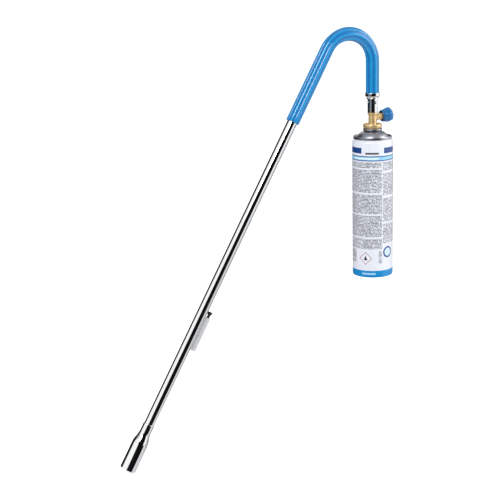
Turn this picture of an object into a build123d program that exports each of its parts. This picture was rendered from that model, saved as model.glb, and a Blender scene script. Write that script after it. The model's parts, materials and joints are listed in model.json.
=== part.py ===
"""Long-reach propane torch: a cane-shaped chromed lance with a fluted grip, a brass needle valve with a
knob, a push-button piezo igniter and a screw-on gas cartridge.

Millimetres. The origin is the centre of the burner's mouth. The lance rises from it in the XZ plane,
leaning towards +X, bends over at the top and comes down upright to the valve and the cartridge.
"""

import math
import os

from build123d import *

# Lance: one bent tube.
LANCE_TILT = 30.0  # degrees from upright
LANCE_STRAIGHT = 708.0  # from the burner's mouth to the start of the bend
BEND_RADIUS = 43.5
LEG_LENGTH = 80.4  # upright leg, from the bend down to the valve
TUBE_RADIUS = 8.0
TUBE_WALL = 1.0
TUBE_BORE = TUBE_RADIUS - TUBE_WALL
AIR_HOLES = 4
AIR_HOLE_RADIUS = 2.4
AIR_HOLE_HEIGHT = 16.0  # above the valve's shoulder

# Clearances.
SEAT_GAP = 0.02  # parts pressed or screwed together
RUN_GAP = 0.05  # parts that turn or slide in each other
BODY_GAP = 0.3  # the cartridge below the valve
SPRING_GAP = 0.4  # springs in their bores

# Burner.
BURNER_RADIUS = 12.5
BURNER_WALL = 0.8
BURNER_BELL = 46.0  # cylindrical mouth
BURNER_TAPER = 13.6
BURNER_SLEEVE = 16.4  # round the tube
SLEEVE_WALL = 0.8
BURNER_HOLES = 6
BURNER_HOLE_RADIUS = 1.3
TUBE_END = BURNER_BELL + BURNER_TAPER + 2.0  # bottom end of the tube, inside the sleeve

# Flame holder, electrode and insulator.
HOLDER_FLANGE = 2.4
HOLDER_EDGE = 0.1  # flange, inside the tube's outside
HOLDER_FLOOR = 1.0
HOLDER_SPIGOT = 6.0
HOLDER_SPIGOT_WALL = 1.0
HOLDER_CENTRE_HOLE = 1.6
HOLDER_PORTS = 7
HOLDER_PORT_RADIUS = 0.85
HOLDER_PORT_CIRCLE = 5.0
ELECTRODE_RADIUS = 0.8
ELECTRODE_LENGTH = 30.0
ELECTRODE_INSET = 2.8  # from the tube's bore, on the side away from the igniter
ELECTRODE_TIP = BURNER_BELL + 2.5
INSULATOR_RADIUS = 1.9
INSULATOR_LENGTH = 20.0
INSULATOR_START = ELECTRODE_TIP + 8.0

# Grip.
GRIP_RADIUS = 10.75
GRIP_START = 585.0  # along the lance from the mouth
GRIP_FLUTES = 8
FLUTE_RADIUS = 4.2
FLUTE_DEPTH = 1.0
FLUTE_EDGE = 0.7
GRIP_TAIL = 54.8  # down the upright leg

# Ferrule that closes the grip's end.
FERRULE_HEIGHT = 9.6
FERRULE_POCKET = 5.4
FERRULE_WALL = 0.9
FERRULE_FOOT_WALL = 1.6
FERRULE_FOOT = 1.2

# Igniter, clear of the tube on its inner side.
IGNITER_BOTTOM = 205.0
IGNITER_LENGTH = 55.0
IGNITER_RADIUS = 4.8
IGNITER_WALL = 0.6
IGNITER_WEB = 5.0
IGNITER_PLUG = 5.0
PLUG_FLOOR = 1.0
CELL_RADIUS = 3.2
CELL_LENGTH = 12.0
CELL_CAP = 1.5
CELL_STEP = 0.4  # crystals, inside their caps
HAMMER_LENGTH = 7.0
HAMMER_STROKE = 3.0  # from its rest down to the cell
IGNITER_COLLAR = 3.0
BUTTON_STEM_RADIUS = 2.3
BUTTON_FLANGE = 3.0
BUTTON_CAP_RADIUS = 4.2
BUTTON_CAP = 3.6
BUTTON_EDGE = 0.8
BUTTON_TRAVEL = 5.0
BUTTON_RISE = BUTTON_TRAVEL + 1.4  # stem shown between the housing and the cap
BUTTON_WIRE = 0.7
BUTTON_COILS = 7
TERMINAL_RADIUS = 0.8
LEAD_RADIUS = 0.7
LEAD_BEND = 7.0
LEAD_HEIGHT = 2.2  # above the housing's bottom
LEAD_DRILL = 1.5  # run-in of the lead's hole, inside the tube's bore
GROMMET_RADIUS = 1.3
GROMMET_FLANGE = 2.0
GROMMET_FLANGE_HEIGHT = 0.7
GROMMET_REACH = 1.1  # inside the tube's bore

# Valve body, measured from its shoulder, where the tube stands.
SHOULDER_RADIUS = 7.9
SHOULDER_HEIGHT = 4.2
SHOULDER_CHAMFER = 0.8
SPIGOT_HEIGHT = 9.0
NECK_GROOVE = 1.0
NECK_RADIUS = 5.4
COLUMN_RADIUS = 6.5
COLUMN_HEIGHT = 17.0  # shoulder face down to the socket
SOCKET_RADIUS = 8.5
SOCKET_HEIGHT = 13.0
THREAD_RADIUS = 5.5  # 7/16 inch thread, as a plain bore
THREAD_DEPTH = 9.8
SEAL_RING_RADIUS = 4.2
SEAL_WIRE = 0.6
FILTER_RADIUS = 2.5
FILTER_HEIGHT = 1.5
PIN_HEAD = 0.7
PIN_RADIUS = 0.9
PIN_REACH = 3.5
PIN_PORTS = 4
PIN_PORT_CIRCLE = 1.6
PIN_PORT_RADIUS = 0.35
INLET_RADIUS = 1.0
OUTLET_RADIUS = 0.7
OUTLET_OFFSET = 3.6
JET_POCKET_RADIUS = 4.2
JET_POCKET_DEPTH = 10.4
JET_PLENUM = 2.4
JET_HEX = 6.6
JET_HEAD = 3.2
JET_TIP_RADIUS = 1.6
JET_TIP = 1.0
JET_ORIFICE = 0.3
COLLAR_RADIUS = 15.25
COLLAR_HEIGHT = 6.5
COLLAR_DISH = 2.6
COLLAR_ROUND = 2.2
COLLAR_FLAT = 0.4
COLLAR_DROP = 0.6  # below the socket's top
COLLAR_HUB = 1.2

# Valve spindle, along an axis that leans up from +X.
SPINDLE_TILT = 7.0
SPINDLE_DROP = 9.0  # where its axis crosses the column, below the shoulder face
BOSS_RADIUS = 4.5
BOSS_END = 12.0
WEB_REACH = 1.5  # rib under the boss, past the column
WEB_THICK = 4.0
SEAT_RADIUS = 0.8
SEAT_FLOOR = 2.8
NEEDLE_RADIUS = 1.2
NEEDLE_TIP = 1.2
NEEDLE_POINT = 0.3
SPINDLE_RADIUS = 2.0
SPINDLE_STEP = 3.8
PACKING_FLOOR = 6.5
PACKING_RADIUS = 3.45
GLAND_NOSE = 3.6
GLAND_HEX = 10.0
GLAND_HEAD = 6.2
GLAND_ROUND = 5.6  # radius that its corners are turned down to
GLAND_CHAMFER = 0.9
KNOB_BACK = 16.4
KNOB_LENGTH = 17.5
KNOB_BACK_RADIUS = 8.9
KNOB_RADIUS = 11.8
KNOB_CROWN = 6.0
KNOB_ROUND = 2.6
KNOB_BACK_ROUND = 0.6
KNOB_LEAN = 0.6  # of the crown, inwards
KNOB_RECESS_RADIUS = 7.2
KNOB_RECESS = 6.5
KNOB_FLUTES = 8
KNOB_FLUTE_RADIUS = 2.8
KNOB_FLUTE_DEPTH = 1.7
KNOB_FLUTE_BACK = 3.5
KNOB_BORE_RADIUS = 2.5
KNOB_SCREW_WEB = 1.0  # left over the bore, under the screw's head
KNOB_SCREW_RADIUS = 1.0
KNOB_SCREW_HEAD = 3.0
KNOB_SCREW_SINK = 2.2
KNOB_SCREW_HEAD_HEIGHT = 1.8
KNOB_SCREW_ROUND = 0.6
KNOB_SLOT_WIDTH = 0.8
KNOB_SLOT_DEPTH = 0.7
SPINDLE_SHORT = 2.0  # spindle's end, below the screw's seat
KNOB_SCREW_LENGTH = 8.0

# Cartridge.
CAN_RADIUS = 32.5
CAN_HEIGHT = 218.0  # printed shell
CAN_WALL = 0.5
CAN_NECK = 3.5
CAN_NECK_IN = 2.6
CAN_LIP = 1.0
SEAM_HEIGHT = 4.0
SEAM_THICK = 1.3
SEAM_ROUND = 0.9  # share of its thickness
SEAM_STAND = 1.6  # above the dome's foot
SEAM_GROOVE = 0.4  # floor of the groove, above the shell
DOME_FOOT_RADIUS = 27.6
DOME_RISE = 10.0
DOME_KNEE = 0.6  # inside its foot, and down from its top
DOME_LAP = 0.2  # into the seam
CUP_RADIUS = 15.6
CUP_CURL = 1.9
CUP_WALL = 0.6
CUP_FLOOR_DROP = 7.0
STUD_TOP_DROP = 1.4  # cartridge stud, below the socket's ceiling
STUD_BORE = 2.0
STUD_CHAMFER = 0.5
BASE_RISE = 9.0
BASE_FOOT = 2.4
BASE_IN = 0.4  # foot, inside the shell's outside
BASE_LAP = 0.3  # cap, into the seam
BASE_ROUND = 0.6  # share of the seam's thickness
STEM_RADIUS = 1.4
STEM_SEAL = 1.2
STEM_FLANGE = 1.5
STEM_REST = 0.1  # flange, below its seal
HOUSING_RADIUS = 5.0
HOUSING_LENGTH = 16.0
HOUSING_WALL = 1.0
STEM_WIRE = 0.5
STEM_COILS = 5

# Places worked out from the sizes.
ELECTRODE_OFFSET = ELECTRODE_INSET - TUBE_BORE
TILT = math.radians(LANCE_TILT)
BEND_X = LANCE_STRAIGHT * math.sin(TILT) + BEND_RADIUS * math.cos(TILT)
BEND_Z = LANCE_STRAIGHT * math.cos(TILT) - BEND_RADIUS * math.sin(TILT)
LEG_X = BEND_X + BEND_RADIUS
SHOULDER_Z = BEND_Z - LEG_LENGTH
SOCKET_TOP_Z = SHOULDER_Z - COLUMN_HEIGHT
SOCKET_BOTTOM_Z = SOCKET_TOP_Z - SOCKET_HEIGHT
CEILING_Z = SOCKET_BOTTOM_Z + THREAD_DEPTH
COLLAR_TOP_Z = SOCKET_TOP_Z - COLLAR_DROP
COLLAR_BOTTOM_Z = COLLAR_TOP_Z - COLLAR_HEIGHT
CUP_TOP_Z = COLLAR_BOTTOM_Z - BODY_GAP
CUP_FLOOR_Z = CUP_TOP_Z - CUP_FLOOR_DROP
STUD_TOP_Z = CEILING_Z - STUD_TOP_DROP
DOME_TOP_Z = CUP_TOP_Z - 2 * CUP_CURL
DOME_FOOT_Z = DOME_TOP_Z - DOME_RISE
SEAM_TOP_Z = DOME_FOOT_Z + SEAM_STAND
SHELL_TOP_Z = SEAM_TOP_Z - SEAM_HEIGHT
SHELL_BOTTOM_Z = SHELL_TOP_Z - CAN_HEIGHT
SEAM_RADIUS = CAN_RADIUS - CAN_NECK_IN
IGNITER_OFFSET = TUBE_RADIUS + SEAT_GAP + IGNITER_RADIUS
CUP_WELL_RADIUS = CUP_RADIUS - 2 * CUP_CURL + CUP_WALL
BURNER_LENGTH = BURNER_BELL + BURNER_TAPER + BURNER_SLEEVE

LANCE = Rotation(0, LANCE_TILT, 0)
LEG = Pos(LEG_X, 0, 0)
SPINDLE = Pos(LEG_X, 0, SHOULDER_Z - SPINDLE_DROP) * Rotation(0, 90 - SPINDLE_TILT, 0)
BEND_AXIS = Axis((BEND_X, 0, BEND_Z), (0, 1, 0))


def rod(radius, low, high, x=0.0, y=0.0):
    """A round bar along Z between two heights."""
    return Pos(x, y, low) * Cylinder(radius, high - low, align=(Align.CENTER, Align.CENTER, Align.MIN))


def ring(outer, inner, low, high):
    """A round tube along Z between two heights."""
    return rod(outer, low, high) - rod(inner, low, high)


def hexagon(across_flats, low, high):
    """A hexagonal bar along Z between two heights."""
    section = RegularPolygon(across_flats / 2, 6, major_radius=False)
    return Pos(0, 0, low) * extrude(section, high - low)


def turned(points):
    """A solid of revolution about Z, from (radius, height) points."""
    outline = Polyline([(r, 0, z) for r, z in points], close=True)
    return revolve(make_face(outline), Axis.Z)


def ball_ring(ring_radius, wire_radius, height):
    """A round sealing ring about Z."""
    return Pos(0, 0, height) * Torus(ring_radius, wire_radius)


def coil(radius, wire_radius, turns, low, high):
    """A compression spring about Z."""
    reach = high - low - 2 * wire_radius
    path = Pos(0, 0, low + wire_radius) * Helix(reach / turns, reach, radius)
    section = Plane(origin=path @ 0, z_dir=path % 0) * Circle(wire_radius)
    return sweep(section, path=path, is_frenet=True)


def around(count, start=0.0):
    """Evenly spaced turns about Z."""
    return [Rotation(0, 0, start + 360 * n / count) for n in range(count)]


def along_cane(section, start, tail):
    """Carries a section, drawn in the XY plane, up the lance, round the bend and down the leg."""
    straight = LANCE * Pos(0, 0, start) * extrude(section, LANCE_STRAIGHT - start)
    bend = revolve(LANCE * Pos(0, 0, LANCE_STRAIGHT) * section, BEND_AXIS, 180 - LANCE_TILT)
    # The section arrives at the leg turned half round Y, so it is mirrored in X there.
    leg_section = Pos(LEG_X, 0, BEND_Z - tail) * Rotation(0, 0, 180) * section
    return straight + bend + extrude(leg_section, tail)


def lance_tube():
    tube = along_cane(Circle(TUBE_RADIUS), TUBE_END, LEG_LENGTH)
    tube -= along_cane(Circle(TUBE_BORE), TUBE_END, LEG_LENGTH)
    drill = rod(AIR_HOLE_RADIUS, 0, TUBE_RADIUS + 1)
    for turn in around(AIR_HOLES):
        tube -= LEG * Pos(0, 0, SHOULDER_Z + AIR_HOLE_HEIGHT) * turn * Rotation(0, 90, 0) * drill
    return tube - lead_hole(GROMMET_RADIUS + SEAT_GAP)


def lead_hole(radius):
    """Cross hole through the tube's wall and the igniter's web, where the lead passes."""
    drill = rod(radius, TUBE_BORE - LEAD_DRILL, IGNITER_OFFSET - IGNITER_RADIUS + 2 * IGNITER_WALL)
    return LANCE * Pos(0, 0, IGNITER_BOTTOM + LEAD_HEIGHT) * Rotation(0, 90, 0) * drill


def grip_section():
    section = Circle(GRIP_RADIUS)
    reach = GRIP_RADIUS - FLUTE_DEPTH + FLUTE_RADIUS
    for turn in around(GRIP_FLUTES, 180 / GRIP_FLUTES):
        section -= turn * Pos(reach, 0, 0) * Circle(FLUTE_RADIUS)
    return fillet(section.vertices(), FLUTE_EDGE) - Circle(TUBE_RADIUS + SEAT_GAP)


def grip_sleeve():
    return along_cane(grip_section(), GRIP_START, GRIP_TAIL)


def grip_ferrule():
    floor = BEND_Z - GRIP_TAIL
    foot = floor - FERRULE_HEIGHT + FERRULE_POCKET
    foot_radius = TUBE_RADIUS + FERRULE_FOOT_WALL
    pocket = GRIP_RADIUS + SEAT_GAP
    rim = pocket + FERRULE_WALL
    bore = TUBE_RADIUS + SEAT_GAP
    cup = turned(
        [
            (bore, foot),
            (foot_radius, foot),
            (foot_radius, foot + FERRULE_FOOT),
            (rim, floor),
            (rim, floor + FERRULE_POCKET),
            (pocket, floor + FERRULE_POCKET),
            (pocket, floor - SEAT_GAP),
            (bore, floor - SEAT_GAP),
        ]
    )
    return LEG * cup


def burner_head():
    bore = TUBE_RADIUS + SEAT_GAP
    sleeve = bore + SLEEVE_WALL
    top = BURNER_BELL + BURNER_TAPER
    shell = turned(
        [
            (BURNER_RADIUS - BURNER_WALL, 0),
            (BURNER_RADIUS, 0),
            (BURNER_RADIUS, BURNER_BELL),
            (sleeve, top),
            (sleeve, BURNER_LENGTH),
            (bore, BURNER_LENGTH),
            (bore, top),
            (BURNER_RADIUS - BURNER_WALL, BURNER_BELL),
        ]
    )
    drill = rod(BURNER_HOLE_RADIUS, 0, BURNER_RADIUS)
    for turn in around(BURNER_HOLES):
        shell -= Pos(0, 0, BURNER_BELL + BURNER_TAPER / 2) * turn * Rotation(0, 90, 0) * drill
    return LANCE * shell


def flame_holder():
    spigot = TUBE_BORE - SEAT_GAP
    top = TUBE_END + HOLDER_SPIGOT
    body = rod(TUBE_RADIUS - HOLDER_EDGE, TUBE_END - HOLDER_FLANGE, TUBE_END - SEAT_GAP)
    body += rod(spigot, TUBE_END - SEAT_GAP, top)
    body -= rod(spigot - HOLDER_SPIGOT_WALL, TUBE_END + HOLDER_FLOOR, top)
    body -= rod(HOLDER_CENTRE_HOLE, 0, top)
    body -= rod(INSULATOR_RADIUS + SEAT_GAP, 0, top, x=ELECTRODE_OFFSET)
    # The port that the electrode's insulator takes the place of is left out.
    for turn in around(HOLDER_PORTS + 1, 180)[1:]:
        body -= turn * rod(HOLDER_PORT_RADIUS, 0, top, x=HOLDER_PORT_CIRCLE)
    return LANCE * body


def electrode():
    return LANCE * rod(ELECTRODE_RADIUS, ELECTRODE_TIP, ELECTRODE_TIP + ELECTRODE_LENGTH, x=ELECTRODE_OFFSET)


def electrode_insulator():
    bore = ELECTRODE_RADIUS + SEAT_GAP
    tube = ring(INSULATOR_RADIUS, bore, INSULATOR_START, INSULATOR_START + INSULATOR_LENGTH)
    return LANCE * Pos(ELECTRODE_OFFSET, 0, 0) * tube


def igniter_housing():
    top = IGNITER_BOTTOM + IGNITER_LENGTH
    sleeve = Pos(IGNITER_OFFSET, 0, 0) * rod(IGNITER_RADIUS, IGNITER_BOTTOM, top)
    web = Pos((TUBE_BORE + IGNITER_OFFSET) / 2, 0, IGNITER_BOTTOM) * Box(
        IGNITER_OFFSET - TUBE_BORE,
        IGNITER_WEB,
        IGNITER_LENGTH,
        align=(Align.CENTER, Align.CENTER, Align.MIN),
    )
    body = sleeve + web - rod(TUBE_RADIUS + SEAT_GAP, IGNITER_BOTTOM, top)
    body -= Pos(IGNITER_OFFSET, 0, 0) * rod(IGNITER_RADIUS - IGNITER_WALL, IGNITER_BOTTOM, top)
    return LANCE * body - lead_hole(GROMMET_RADIUS + SEAT_GAP)


def in_igniter(shape):
    """Puts a piece, built about Z with its foot at the housing's bottom, into the igniter."""
    return LANCE * Pos(IGNITER_OFFSET, 0, IGNITER_BOTTOM) * shape


def igniter_plug():
    plug = rod(IGNITER_RADIUS - IGNITER_WALL - SEAT_GAP, 0, IGNITER_PLUG)
    plug -= rod(TERMINAL_RADIUS + SEAT_GAP, PLUG_FLOOR, IGNITER_PLUG)
    plug -= Pos(0, 0, LEAD_HEIGHT) * Rotation(0, -90, 0) * rod(LEAD_RADIUS + SEAT_GAP, 0, IGNITER_RADIUS)
    return in_igniter(plug)


def igniter_terminal():
    return in_igniter(rod(TERMINAL_RADIUS, PLUG_FLOOR + SEAT_GAP, IGNITER_PLUG))


def piezo_cell():
    """Crystal stack, without its end caps."""
    low = IGNITER_PLUG + CELL_CAP
    return in_igniter(rod(CELL_RADIUS - CELL_STEP, low, low + CELL_LENGTH - 2 * CELL_CAP))


def piezo_caps():
    foot = rod(CELL_RADIUS, IGNITER_PLUG, IGNITER_PLUG + CELL_CAP)
    head = rod(CELL_RADIUS, IGNITER_PLUG + CELL_LENGTH - CELL_CAP, IGNITER_PLUG + CELL_LENGTH)
    return in_igniter(Compound([foot, head]))


def hammer_top():
    return IGNITER_PLUG + CELL_LENGTH + HAMMER_STROKE + HAMMER_LENGTH


def igniter_hammer():
    low = hammer_top() - HAMMER_LENGTH + SEAT_GAP
    return in_igniter(rod(IGNITER_RADIUS - IGNITER_WALL - RUN_GAP, low, hammer_top()))


def button_foot():
    return IGNITER_LENGTH - IGNITER_COLLAR - SEAT_GAP - BUTTON_FLANGE


def button_spring():
    radius = IGNITER_RADIUS - IGNITER_WALL - BUTTON_WIRE / 2 - SPRING_GAP
    low = hammer_top() + SEAT_GAP
    high = button_foot() - SEAT_GAP
    return in_igniter(coil(radius, BUTTON_WIRE / 2, BUTTON_COILS, low, high))


def igniter_collar():
    bore = BUTTON_STEM_RADIUS + RUN_GAP
    outer = IGNITER_RADIUS - IGNITER_WALL - SEAT_GAP
    return in_igniter(ring(outer, bore, IGNITER_LENGTH - IGNITER_COLLAR, IGNITER_LENGTH))


def igniter_button():
    cap_foot = IGNITER_LENGTH + BUTTON_RISE
    cap = rod(BUTTON_CAP_RADIUS, cap_foot, cap_foot + BUTTON_CAP)
    cap = fillet(cap.faces().sort_by(Axis.Z)[-1].edges(), BUTTON_EDGE)
    flange = rod(IGNITER_RADIUS - IGNITER_WALL - RUN_GAP, button_foot(), button_foot() + BUTTON_FLANGE)
    return in_igniter(cap + flange + rod(BUTTON_STEM_RADIUS, button_foot(), cap_foot))


def lead_route():
    """Corners of the lead's run: out of the plug, into the tube and down to the electrode."""
    height = IGNITER_BOTTOM + LEAD_HEIGHT
    start = IGNITER_OFFSET - TERMINAL_RADIUS - SEAT_GAP
    end = ELECTRODE_TIP + ELECTRODE_LENGTH + SEAT_GAP
    return [(start, 0, height), (ELECTRODE_OFFSET, 0, height), (ELECTRODE_OFFSET, 0, end)]


def ignition_lead():
    path = FilletPolyline(*lead_route(), radius=LEAD_BEND)
    section = Plane(origin=path @ 0, z_dir=path % 0) * Circle(LEAD_RADIUS)
    return LANCE * sweep(section, path=path)


def lead_grommet():
    inner = TUBE_BORE - GROMMET_REACH
    bush = rod(GROMMET_RADIUS, inner, TUBE_RADIUS + IGNITER_WALL)
    bush += rod(GROMMET_FLANGE, inner, inner + GROMMET_FLANGE_HEIGHT)
    bush -= rod(LEAD_RADIUS + SEAT_GAP, inner, TUBE_RADIUS + IGNITER_WALL)
    return LANCE * Pos(0, 0, IGNITER_BOTTOM + LEAD_HEIGHT) * Rotation(0, 90, 0) * bush


def valve_body():
    top = SHOULDER_Z + SPIGOT_HEIGHT
    groove_top = SHOULDER_Z - SHOULDER_HEIGHT
    body = rod(SHOULDER_RADIUS, groove_top, SHOULDER_Z - SEAT_GAP)
    body = chamfer(body.faces().sort_by(Axis.Z)[0].edges(), SHOULDER_CHAMFER)
    body += rod(TUBE_BORE - SEAT_GAP, SHOULDER_Z - SEAT_GAP, top)
    body += rod(NECK_RADIUS, groove_top - NECK_GROOVE, groove_top)
    body += rod(COLUMN_RADIUS, SOCKET_TOP_Z, groove_top - NECK_GROOVE)
    body += rod(SOCKET_RADIUS, SOCKET_BOTTOM_Z, SOCKET_TOP_Z)
    body = LEG * body
    body += SPINDLE * (rod(BOSS_RADIUS, 0, BOSS_END) + boss_web())
    cuts = rod(THREAD_RADIUS, SOCKET_BOTTOM_Z, CEILING_Z)
    cuts += rod(FILTER_RADIUS, CEILING_Z, CEILING_Z + PIN_HEAD + FILTER_HEIGHT + 2 * SEAT_GAP)
    cuts += rod(INLET_RADIUS, CEILING_Z, SHOULDER_Z - SPINDLE_DROP)
    cuts += rod(OUTLET_RADIUS, SHOULDER_Z - SPINDLE_DROP, top, x=OUTLET_OFFSET)
    cuts += rod(JET_POCKET_RADIUS, top - JET_POCKET_DEPTH, top)
    bores = rod(SEAT_RADIUS, -INLET_RADIUS, SEAT_FLOOR)
    bores += rod(SPINDLE_RADIUS + RUN_GAP, SEAT_FLOOR, PACKING_FLOOR)
    bores += rod(PACKING_RADIUS, PACKING_FLOOR, BOSS_END)
    return body - LEG * cuts - SPINDLE * bores


def boss_web():
    """Rib under the spindle's boss, in the spindle's own frame, where +X points down."""
    depth = COLUMN_RADIUS + WEB_REACH
    return Pos(depth / 2, 0, depth / 2) * Rotation(0, 45, 0) * Box(depth, WEB_THICK, depth)


def mount_collar():
    """Dished brass ring round the socket, with a rounded edge."""
    crest = COLLAR_RADIUS - COLLAR_ROUND - COLLAR_FLAT
    bore = SOCKET_RADIUS + SEAT_GAP
    dish = COLLAR_TOP_Z - COLLAR_DISH
    plate = turned(
        [
            (bore, COLLAR_BOTTOM_Z),
            (COLLAR_RADIUS, COLLAR_BOTTOM_Z),
            (COLLAR_RADIUS, COLLAR_TOP_Z),
            (crest, COLLAR_TOP_Z),
            (bore + COLLAR_HUB, dish),
            (bore, dish),
        ]
    )
    rims = plate.edges().filter_by(GeomType.CIRCLE).sort_by(lambda edge: edge.radius)[-2:]
    return LEG * fillet(rims, COLLAR_ROUND)


def socket_seal():
    return LEG * ball_ring(SEAL_RING_RADIUS, SEAL_WIRE, CEILING_Z - SEAL_WIRE - SEAT_GAP)


def opening_pin():
    head = rod(FILTER_RADIUS - SEAT_GAP, CEILING_Z, CEILING_Z + PIN_HEAD)
    head += rod(PIN_RADIUS, CEILING_Z - PIN_REACH, CEILING_Z)
    for turn in around(PIN_PORTS):
        head -= turn * rod(PIN_PORT_RADIUS, CEILING_Z, CEILING_Z + PIN_HEAD, x=PIN_PORT_CIRCLE)
    return LEG * head


def gas_filter():
    low = CEILING_Z + PIN_HEAD + SEAT_GAP
    return LEG * rod(FILTER_RADIUS - SEAT_GAP, low, low + FILTER_HEIGHT)


def gas_jet():
    top = SHOULDER_Z + SPIGOT_HEIGHT
    body = rod(JET_POCKET_RADIUS - SEAT_GAP, top - JET_POCKET_DEPTH + JET_PLENUM, top)
    body += hexagon(JET_HEX, top, top + JET_HEAD)
    body += rod(JET_TIP_RADIUS, top + JET_HEAD, top + JET_HEAD + JET_TIP)
    body -= rod(JET_TIP_RADIUS, top - JET_POCKET_DEPTH, top + JET_HEAD - JET_TIP)
    return LEG * (body - rod(JET_ORIFICE, top, top + JET_HEAD + JET_TIP))


def valve_spindle():
    tip = SEAT_FLOOR + SEAT_GAP
    knob_end = KNOB_BACK + KNOB_LENGTH - KNOB_SCREW_SINK - SPINDLE_SHORT
    needle = turned(
        [
            (0, tip - NEEDLE_TIP),
            (NEEDLE_POINT, tip - NEEDLE_TIP),
            (SEAT_RADIUS - SEAT_GAP, tip),
            (NEEDLE_RADIUS, tip),
            (NEEDLE_RADIUS, SPINDLE_STEP),
            (SPINDLE_RADIUS, SPINDLE_STEP),
            (SPINDLE_RADIUS, knob_floor()),
            (KNOB_BORE_RADIUS, knob_floor()),
            (KNOB_BORE_RADIUS, knob_end),
            (0, knob_end),
        ]
    )
    return SPINDLE * (needle - rod(KNOB_SCREW_RADIUS + RUN_GAP, knob_end - KNOB_SCREW_LENGTH, knob_end))


def spindle_seal():
    wire = (PACKING_RADIUS - SPINDLE_RADIUS) / 2 - RUN_GAP
    centre = (PACKING_RADIUS + SPINDLE_RADIUS) / 2
    return SPINDLE * ball_ring(centre, wire, PACKING_FLOOR + wire + SEAT_GAP)


def gland_nut():
    nose = rod(PACKING_RADIUS - SEAT_GAP, BOSS_END - GLAND_NOSE, BOSS_END + SEAT_GAP)
    head = hexagon(GLAND_HEX, BOSS_END + SEAT_GAP, BOSS_END + GLAND_HEAD)
    rounding = rod(GLAND_ROUND, BOSS_END, BOSS_END + GLAND_HEAD)
    rounding = chamfer(rounding.faces().sort_by(Axis.Z)[-1].edges(), GLAND_CHAMFER)
    return SPINDLE * (nose + (head & rounding) - rod(SPINDLE_RADIUS + RUN_GAP, 0, BOSS_END + GLAND_HEAD))


def knob_floor():
    return KNOB_BACK + KNOB_RECESS + RUN_GAP


def valve_knob():
    front = KNOB_BACK + KNOB_LENGTH
    blank = turned(
        [
            (0, KNOB_BACK),
            (KNOB_BACK_RADIUS, KNOB_BACK),
            (KNOB_RADIUS, front - KNOB_CROWN),
            (KNOB_RADIUS - KNOB_LEAN, front),
            (0, front),
        ]
    )
    blank = fillet(blank.faces().sort_by(Axis.Z)[-1].edges(), KNOB_ROUND)
    blank = fillet(blank.faces().sort_by(Axis.Z)[0].edges(), KNOB_BACK_ROUND)
    flute_x = KNOB_RADIUS - KNOB_FLUTE_DEPTH + KNOB_FLUTE_RADIUS
    for turn in around(KNOB_FLUTES):
        blank -= turn * rod(KNOB_FLUTE_RADIUS, KNOB_BACK + KNOB_FLUTE_BACK, front + 1, x=flute_x)
    blank -= rod(KNOB_RECESS_RADIUS, KNOB_BACK, KNOB_BACK + KNOB_RECESS)
    blank -= rod(KNOB_BORE_RADIUS + RUN_GAP, KNOB_BACK, front - KNOB_SCREW_SINK - KNOB_SCREW_WEB)
    blank -= rod(KNOB_SCREW_RADIUS + RUN_GAP, KNOB_BACK, front)
    return SPINDLE * (blank - rod(KNOB_SCREW_HEAD + RUN_GAP, front - KNOB_SCREW_SINK, front))


def knob_screw():
    seat = KNOB_BACK + KNOB_LENGTH - KNOB_SCREW_SINK
    top = seat + KNOB_SCREW_HEAD_HEIGHT
    head = rod(KNOB_SCREW_HEAD, seat + SEAT_GAP, top)
    head = fillet(head.faces().sort_by(Axis.Z)[-1].edges(), KNOB_SCREW_ROUND)
    slot = Pos(0, 0, top) * Box(3 * KNOB_SCREW_HEAD, KNOB_SLOT_WIDTH, 2 * KNOB_SLOT_DEPTH)
    shank = rod(KNOB_SCREW_RADIUS, seat + KNOB_SCREW_WEB - KNOB_SCREW_LENGTH, seat + SEAT_GAP)
    return SPINDLE * (head + shank - slot)


def can_shell():
    low, high = SHELL_BOTTOM_Z, SHELL_TOP_Z
    neck = high - CAN_NECK
    outer = CAN_RADIUS
    inner = CAN_RADIUS - CAN_WALL
    shell = turned(
        [
            (inner, low),
            (outer, low),
            (outer, neck),
            (outer - CAN_NECK_IN, high - CAN_LIP),
            (outer - CAN_NECK_IN, high),
            (inner - CAN_NECK_IN, high),
            (inner - CAN_NECK_IN, high - CAN_LIP),
            (inner, neck),
        ]
    )
    return LEG * shell


def can_dome():
    """Domed top with its rolled seam and the groove inside it."""
    wall = CAN_WALL
    seam_out = SEAM_RADIUS + SEAM_THICK / 2
    seam_in = seam_out - 2 * SEAM_THICK
    mouth = CUP_WELL_RADIUS + SEAT_GAP
    seam = turned(
        [
            (seam_in, SHELL_TOP_Z + SEAT_GAP),
            (seam_out, SHELL_TOP_Z + SEAT_GAP),
            (seam_out, SEAM_TOP_Z),
            (seam_in, SEAM_TOP_Z),
        ]
    )
    seam = fillet(seam.edges().filter_by(GeomType.CIRCLE).sort_by(Axis.Z)[-2:], SEAM_THICK * SEAM_ROUND)
    groove = SHELL_TOP_Z + SEAM_GROOVE
    knee = DOME_TOP_Z - DOME_KNEE
    dome = turned(
        [
            (seam_in + DOME_LAP, groove),
            (seam_in + DOME_LAP, groove + wall),
            (DOME_FOOT_RADIUS - DOME_KNEE, groove + wall),
            (CUP_RADIUS, knee),
            (mouth, DOME_TOP_Z),
            (mouth, DOME_TOP_Z - wall),
            (CUP_RADIUS - DOME_LAP, knee - wall),
            (DOME_FOOT_RADIUS - 2 * wall, groove),
        ]
    )
    return LEG * (seam + dome)


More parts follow.
